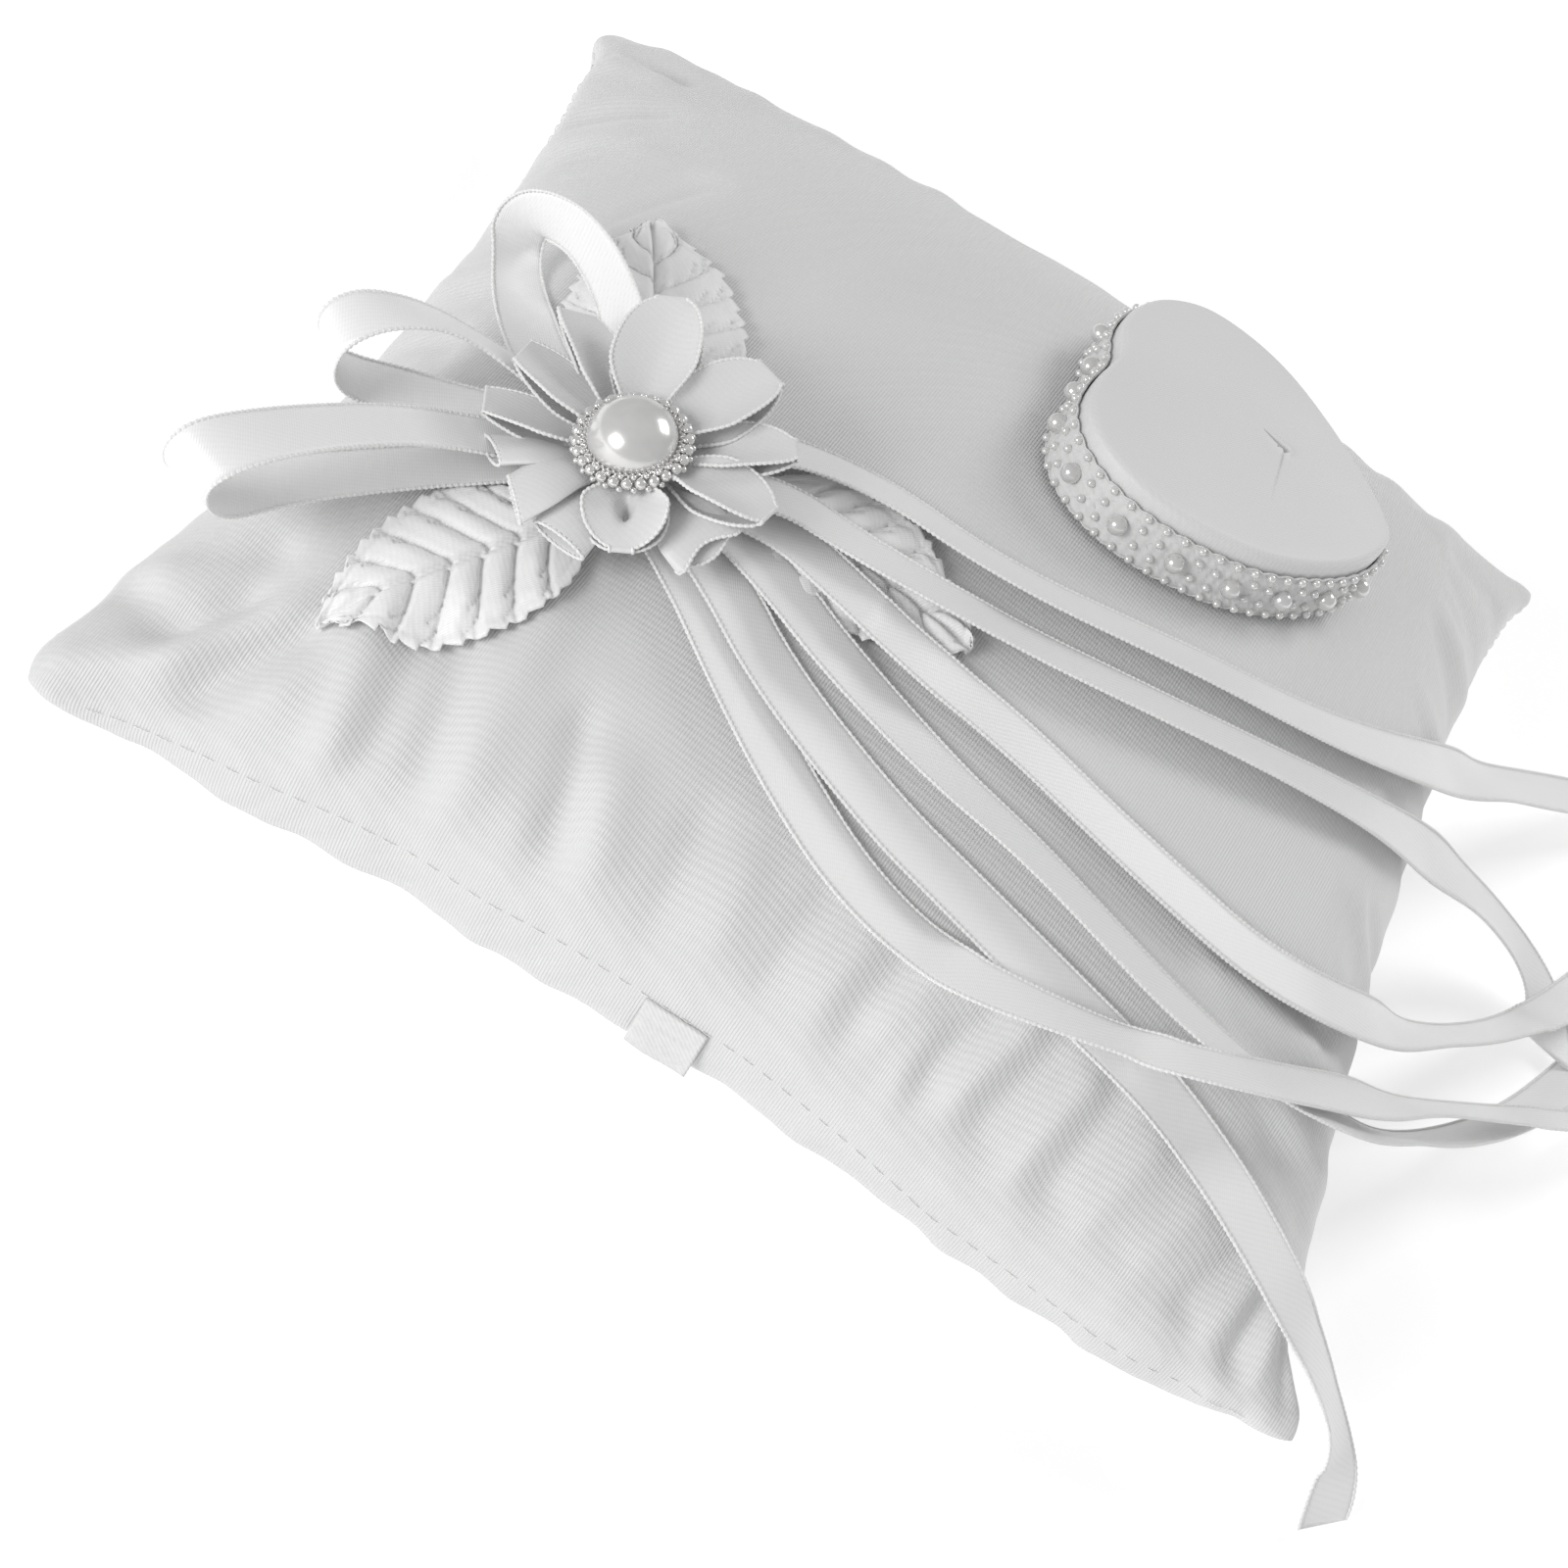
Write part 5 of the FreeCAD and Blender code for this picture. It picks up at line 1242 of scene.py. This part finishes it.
def slit_depth(x, y):
    """The ring slit: a short gaping cut at its head and a closed line running down from it."""
    def seg(x0, y0, x1, y1):
        ex, ey = x1 - x0, y1 - y0
        t = np.clip(((x - x0) * ex + (y - y0) * ey) / (ex * ex + ey * ey), 0, 1)
        return np.hypot(x - x0 - t * ex, y - y0 - t * ey), t
    d1, t1 = seg(2.2, 5.3, 6.35, 4.0)
    gape = 0.10 + 0.50 * t1
    head = -1.3 * np.exp(-(d1 / gape) ** 4)
    lip = 0.30 * np.exp(-((d1 - gape - 0.5) / 0.6) ** 2) * t1
    d2, t2 = seg(6.35, 4.0, 7.2, -10.8)
    line = -0.35 * np.exp(-(d2 / 0.22) ** 2) * (1 - 0.75 * t2) + 0.07 * np.exp(-((d2 - 0.8) / 0.6) ** 2) * (1 - t2)
    return head + lip + line


CX, CY = 5.2, 3.4
RAYS = 480
s_list = np.linspace(0, PERIM, RAYS, endpoint=False)
rim_pts, rim_n = outline_at(s_list)
rim_n = rim_n * OUT
fr = np.concatenate([np.linspace(0.01, 0.24, 34), np.linspace(0.25, 0.95, 40)])
rows = []
soft = np.random.default_rng(4).uniform(0, 6.28, 4)
inset, _ = outline_at(s_list, np.full(RAYS, -1.3 * OUT))
for f in fr:
    x = CX + (inset[:, 0] - CX) * f
    y = CY + (inset[:, 1] - CY) * f
    puff = 0.35 * (1 - f ** 4) + 0.10 * np.sin(x / 7 + soft[0]) * np.sin(y / 8 + soft[1]) - 0.35
    rows.append(pad_point(x, y, PAD_HIGH + puff + slit_depth(x, y)))
for ang in np.linspace(0.0, math.pi / 2, 9):
    d = -1.3 + 1.3 * math.sin(ang)
    lv = PAD_HIGH - 0.35 - 1.3 * (1 - math.cos(ang))
    p, _ = outline_at(s_list, np.full(RAYS, d * OUT))
    rows.append(pad_point(p[:, 0], p[:, 1], np.full(RAYS, lv)))
for lv in np.linspace(PAD_HIGH - 2.2, 1.2, 10):
    belly = 0.18 * math.sin(math.pi * lv / PAD_HIGH)
    crimp = 0.10 * np.sin(s_list * 1.9 + 0.8 * np.sin(s_list * 0.31)) * math.exp(-lv / 4)
    p, _ = outline_at(s_list, (belly + crimp) * OUT)
    rows.append(pad_point(p[:, 0], p[:, 1], np.full(RAYS, lv)))
for ang in np.linspace(0.2, math.pi / 2, 6):
    d = -1.1 + 1.1 * math.cos(ang)
    lv = 1.1 - 1.1 * math.sin(ang)
    p, _ = outline_at(s_list, np.full(RAYS, d * OUT))
    rows.append(pad_point(p[:, 0], p[:, 1], np.full(RAYS, lv)))
for f in (0.8, 0.5, 0.2, 0.02):
    p, _ = outline_at(s_list, np.full(RAYS, -1.1 * OUT))
    rows.append(pad_point(CX + (p[:, 0] - CX) * f, CY + (p[:, 1] - CY) * f, np.full(RAYS, 0.0)))
ring = np.stack(rows, 0)
b = Build()
faces = grid_faces(len(rows), RAYS, wrap_cols=True)
last = (len(rows) - 1) * RAYS
faces.append(tuple(range(RAYS))[::-1])
faces.append(tuple(last + k for k in range(RAYS)))
b.add(ring.reshape(-1, 3), faces, 0)
pad = b.make("ring_pad_satin", [M_PAD])
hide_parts("ring_pad_cover", "ring_pad_foam", "ring_pad_board")
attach(pad, "root")

# net tape with its cords, pearls and beads
b = Build()
K = 720
ss = np.linspace(0, PERIM, K, endpoint=False)
PITCH = PERIM / 57.0
rows = []
levels = np.linspace(0, 1, 15)
for face in (0, 1):
    for lv in (levels if face == 0 else levels[::-1]):
        scal_low = 0.45 * np.abs(np.sin(math.pi * ss / PITCH))
        scal_top = 0.35 * np.abs(np.sin(math.pi * ss / PITCH))
        low = 0.75 - scal_low
        high = 8.65 + scal_top
        level = low + (high - low) * lv
        dia = 0.10 * np.cos(2 * math.pi * (ss / PITCH + lv * 3)) * np.cos(2 * math.pi * (ss / PITCH - lv * 3))
        d = 0.55 + (0.22 if face == 0 else -0.12) + (dia if face == 0 else 0)
        p, _ = outline_at(ss, (d + 0 * ss) * OUT)
        rows.append(pad_point(p[:, 0], p[:, 1], level))
ring = np.stack(rows, 0)
b.add(ring.reshape(-1, 3), grid_faces(len(rows), K, wrap_rows=True, wrap_cols=True), 0)


def rope(level_of, d, pitch, low, high):
    p, _ = outline_at(ss, (d + 0 * ss) * OUT)
    bead_line(b, pad_point(p[:, 0], p[:, 1], level_of(ss)), pitch=pitch, low=low, high=high, slot=0, closed=True, sides=5, step=0.3)


rope(lambda s: 0.75 - 0.5 * np.abs(np.sin(math.pi * s / PITCH)), 0.75, 0.8, 0.10, 0.2)
rope(lambda s: 8.7 + 0.4 * np.abs(np.sin(math.pi * s / PITCH)), 0.75, 0.8, 0.10, 0.2)
rope(lambda s: 4.7 + 3.3 * np.sin(math.pi * s / (PERIM / 18.0)), 0.72, 0.9, 0.07, 0.12)
rope(lambda s: 4.7 - 3.3 * np.sin(math.pi * s / (PERIM / 18.0)), 0.72, 0.9, 0.07, 0.12)
tape = b.make("pad_net_tape", [M_NET])
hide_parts("trim_tape")
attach(tape, "root")

b = Build()
for k in range(18):
    p, n = outline_at(np.array([PERIM * (k + 0.5) / 18.0]), np.array([1.5]) * OUT)
    c = pad_point(p[:, 0], p[:, 1], np.array([4.7]))[0]
    nn = (PAD_X * n[0, 0] + PAD_Y * n[0, 1]) * OUT
    sphere(b, c, 1.6, 0, 28, 18, nn)
big = b.make("pad_large_pearls", [M_PEARL])
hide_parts("trim_large_pearls")
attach(big, "root")

b = Build()
spots = []
for k in range(57):
    spots.append((PITCH * (k + 0.5), 8.5))
    spots.append((PITCH * k, 0.95))
for k in range(18):
    mid = PERIM * (k + 1.0) / 18.0
    for ds, lv in ((-1.7, 6.35), (1.5, 5.95), (-1.4, 3.3), (1.8, 2.95)):
        spots.append((mid + ds, lv))
for s, lv in spots:
    p, n = outline_at(np.array([s]), np.array([1.15]) * OUT)
    c = pad_point(p[:, 0], p[:, 1], np.array([lv]))[0]
    nn = (PAD_X * n[0, 0] + PAD_Y * n[0, 1]) * OUT
    sphere(b, c, 0.66, 0, 16, 11, nn)
small = b.make("pad_small_beads", [M_SMALL])
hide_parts("trim_small_beads")
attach(small, "root")

# ---------------------------------------------------------------- blank tape loop in the near seam
b = Build()
NX, NZ = 25, 21
rows = []
lo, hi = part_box("loop_label")
lx0, lx1 = lo[0] / MM, hi[0] / MM
ly_mid = (lo[1] + hi[1]) / 2 / MM
z0, z1 = lo[2] / MM, hi[2] / MM
U, V = np.meshgrid(np.linspace(0, 1, NX), np.linspace(0, 1, NZ), indexing="ij")
x = lx0 + (lx1 - lx0) * U + 0.3 * (V - 0.5)
seam_line = cushion_v[:GN * GN].reshape(GN, GN, 3)[:, 0]
seam_z = np.interp(x, seam_line[:, 0], seam_line[:, 2])
wall = cushion_v[GN * GN:]
wall = wall[(np.abs(wall[:, 0] - 0.5 * (lx0 + lx1)) < 4.0) & (wall[:, 1] < -55) & (wall[:, 2] > 1.0)]
order = np.argsort(wall[:, 2])
wall_z, wall_y = wall[order, 2], smooth1(wall[order, 1], 2.0)
z = seam_z - 0.2 - 9.6 * V - 0.25 * np.cos(math.pi * (U - 0.5)) * V
y = np.minimum(np.interp(z, wall_z, wall_y), np.interp(z + 1.5, wall_z, wall_y)) - 0.75 - 0.4 * V - 0.15 * np.sin(2 * math.pi * U) * V
fold = 0.22 * np.exp(-((V - 0.33) / 0.035) ** 2)
front = np.stack([x, y + fold, z], -1)
back = np.stack([x, y + 0.5, z], -1)
M = NX * NZ
faces = grid_faces(NX, NZ, 0, flip=True) + grid_faces(NX, NZ, M)
ring = [(i, 0) for i in range(NX)] + [(NX - 1, j) for j in range(1, NZ)] + [(i, NZ - 1) for i in range(NX - 2, -1, -1)] + [(0, j) for j in range(NZ - 2, 0, -1)]
ids = [i * NZ + j for i, j in ring]
for k in range(len(ids)):
    p, q = ids[k], ids[(k + 1) % len(ids)]
    faces.append((p, q, q + M, p + M))
b.add(np.concatenate([front.reshape(-1, 3), back.reshape(-1, 3)]), faces, 0)
label = b.make("blank_tape_loop", [M_LABEL])
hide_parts("loop_label")
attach(label, "root")

# ---------------------------------------------------------------- stitches pulled into the seam
done = cushion_v[:GN * GN].reshape(GN, GN, 3)
near = done[:, 0]
near_s = np.concatenate([[0], np.cumsum(np.linalg.norm(np.diff(near, axis=0), axis=1))])


def run_of(line, step, length, thick, build):
    s = np.concatenate([[0], np.cumsum(np.linalg.norm(np.diff(line, axis=0), axis=1))])
    at = 9.0
    while at < s[-1] - 9.0:
        t = np.linspace(at, at + length, 7)
        p = np.stack([np.interp(t, s, line[:, k]) for k in range(3)], 1)
        mid = np.array([0, 0, 0.0])
        outw = unit(np.array([p[3, 0], p[3, 1], 0.0]))
        p = p + outw * (-0.27 + 0.27 * np.sin(np.linspace(0, math.pi, 7)))[:, None]
        bead_line(build, p, pitch=0.55, low=thick * 0.85, high=thick, slot=0, sides=6, step=length / 8)
        at += step


b = Build()
for line in (done[:, 0], done[-1, :], done[:, -1], done[0, :]):
    run_of(line, 3.4, 2.5, 0.085, b)
stitches = b.make("seam_stitches", [M_THREAD])
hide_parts("edge_stitches")
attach(stitches, "root")

# carried-over pieces with their own finish
for node_name, material in (("flower_backing", M_FELT), ("ribbon_binding", M_RIBBON_PAINTED_LIGHT)):
    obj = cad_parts[node_name]
    if not obj.material_slots:
        obj.data.materials.append(None)
    for slot_ in obj.material_slots:
        slot_.material = material

# ---------------------------------------------------------------- floor, backdrop light
floor_mat, nt, bsdf = new_material("floor")
coord = node(nt, "ShaderNodeTexCoord")
speck = node(nt, "ShaderNodeTexNoise", Scale=12.0, Detail=2.0)
nt.links.new(coord.outputs["Object"], speck.inputs["Vector"])
ramp = node(nt, "ShaderNodeValToRGB")
ramp.color_ramp.elements[0].color = (0.90, 0.90, 0.90, 1)
ramp.color_ramp.elements[1].color = (0.93, 0.93, 0.93, 1)
nt.links.new(speck.outputs["Fac"], ramp.inputs["Fac"])
nt.links.new(ramp.outputs["Color"], bsdf.inputs["Base Color"])
bsdf.inputs["Roughness"].default_value = 0.9
bsdf.inputs["Specular IOR Level"].default_value = 0.1
bsdf.inputs["Emission Color"].default_value = (1, 1, 1, 1)
bsdf.inputs["Emission Strength"].default_value = 0.32
seg = 48
fv = [(4000 * math.cos(2 * math.pi * k / seg), 4000 * math.sin(2 * math.pi * k / seg), -0.02) for k in range(seg)]
floor = mesh_object("floor", fv, [tuple(range(seg))], [floor_mat], smooth=False)

world = bpy.data.worlds.new("studio")
bpy.context.scene.world = world
world.use_nodes = True
wn = world.node_tree.nodes["Background"]
wn.inputs["Color"].default_value = (1.0, 1.0, 1.0, 1)
wn.inputs["Strength"].default_value = 0.50


def area(name, place, target, size, power, spread=math.pi):
    data = bpy.data.lights.new(name, "AREA")
    data.shape = "RECTANGLE"
    data.size, data.size_y = size
    data.energy = power
    data.spread = spread
    obj = link(bpy.data.objects.new(name, data))
    obj.location = place
    d = Vector(target) - Vector(place)
    obj.rotation_euler = d.to_track_quat("-Z", "Y").to_euler()
    return obj


area("key_left_front", (-0.78, -1.00, 0.56), (0.0, 0.0, 0.03), (0.6, 0.5), 8.8)
area("back_right", (0.55, 0.75, 0.80), (0.0, 0.0, 0.03), (0.5, 0.5), 4.2)

bpy.context.scene.view_settings.view_transform = "Standard"
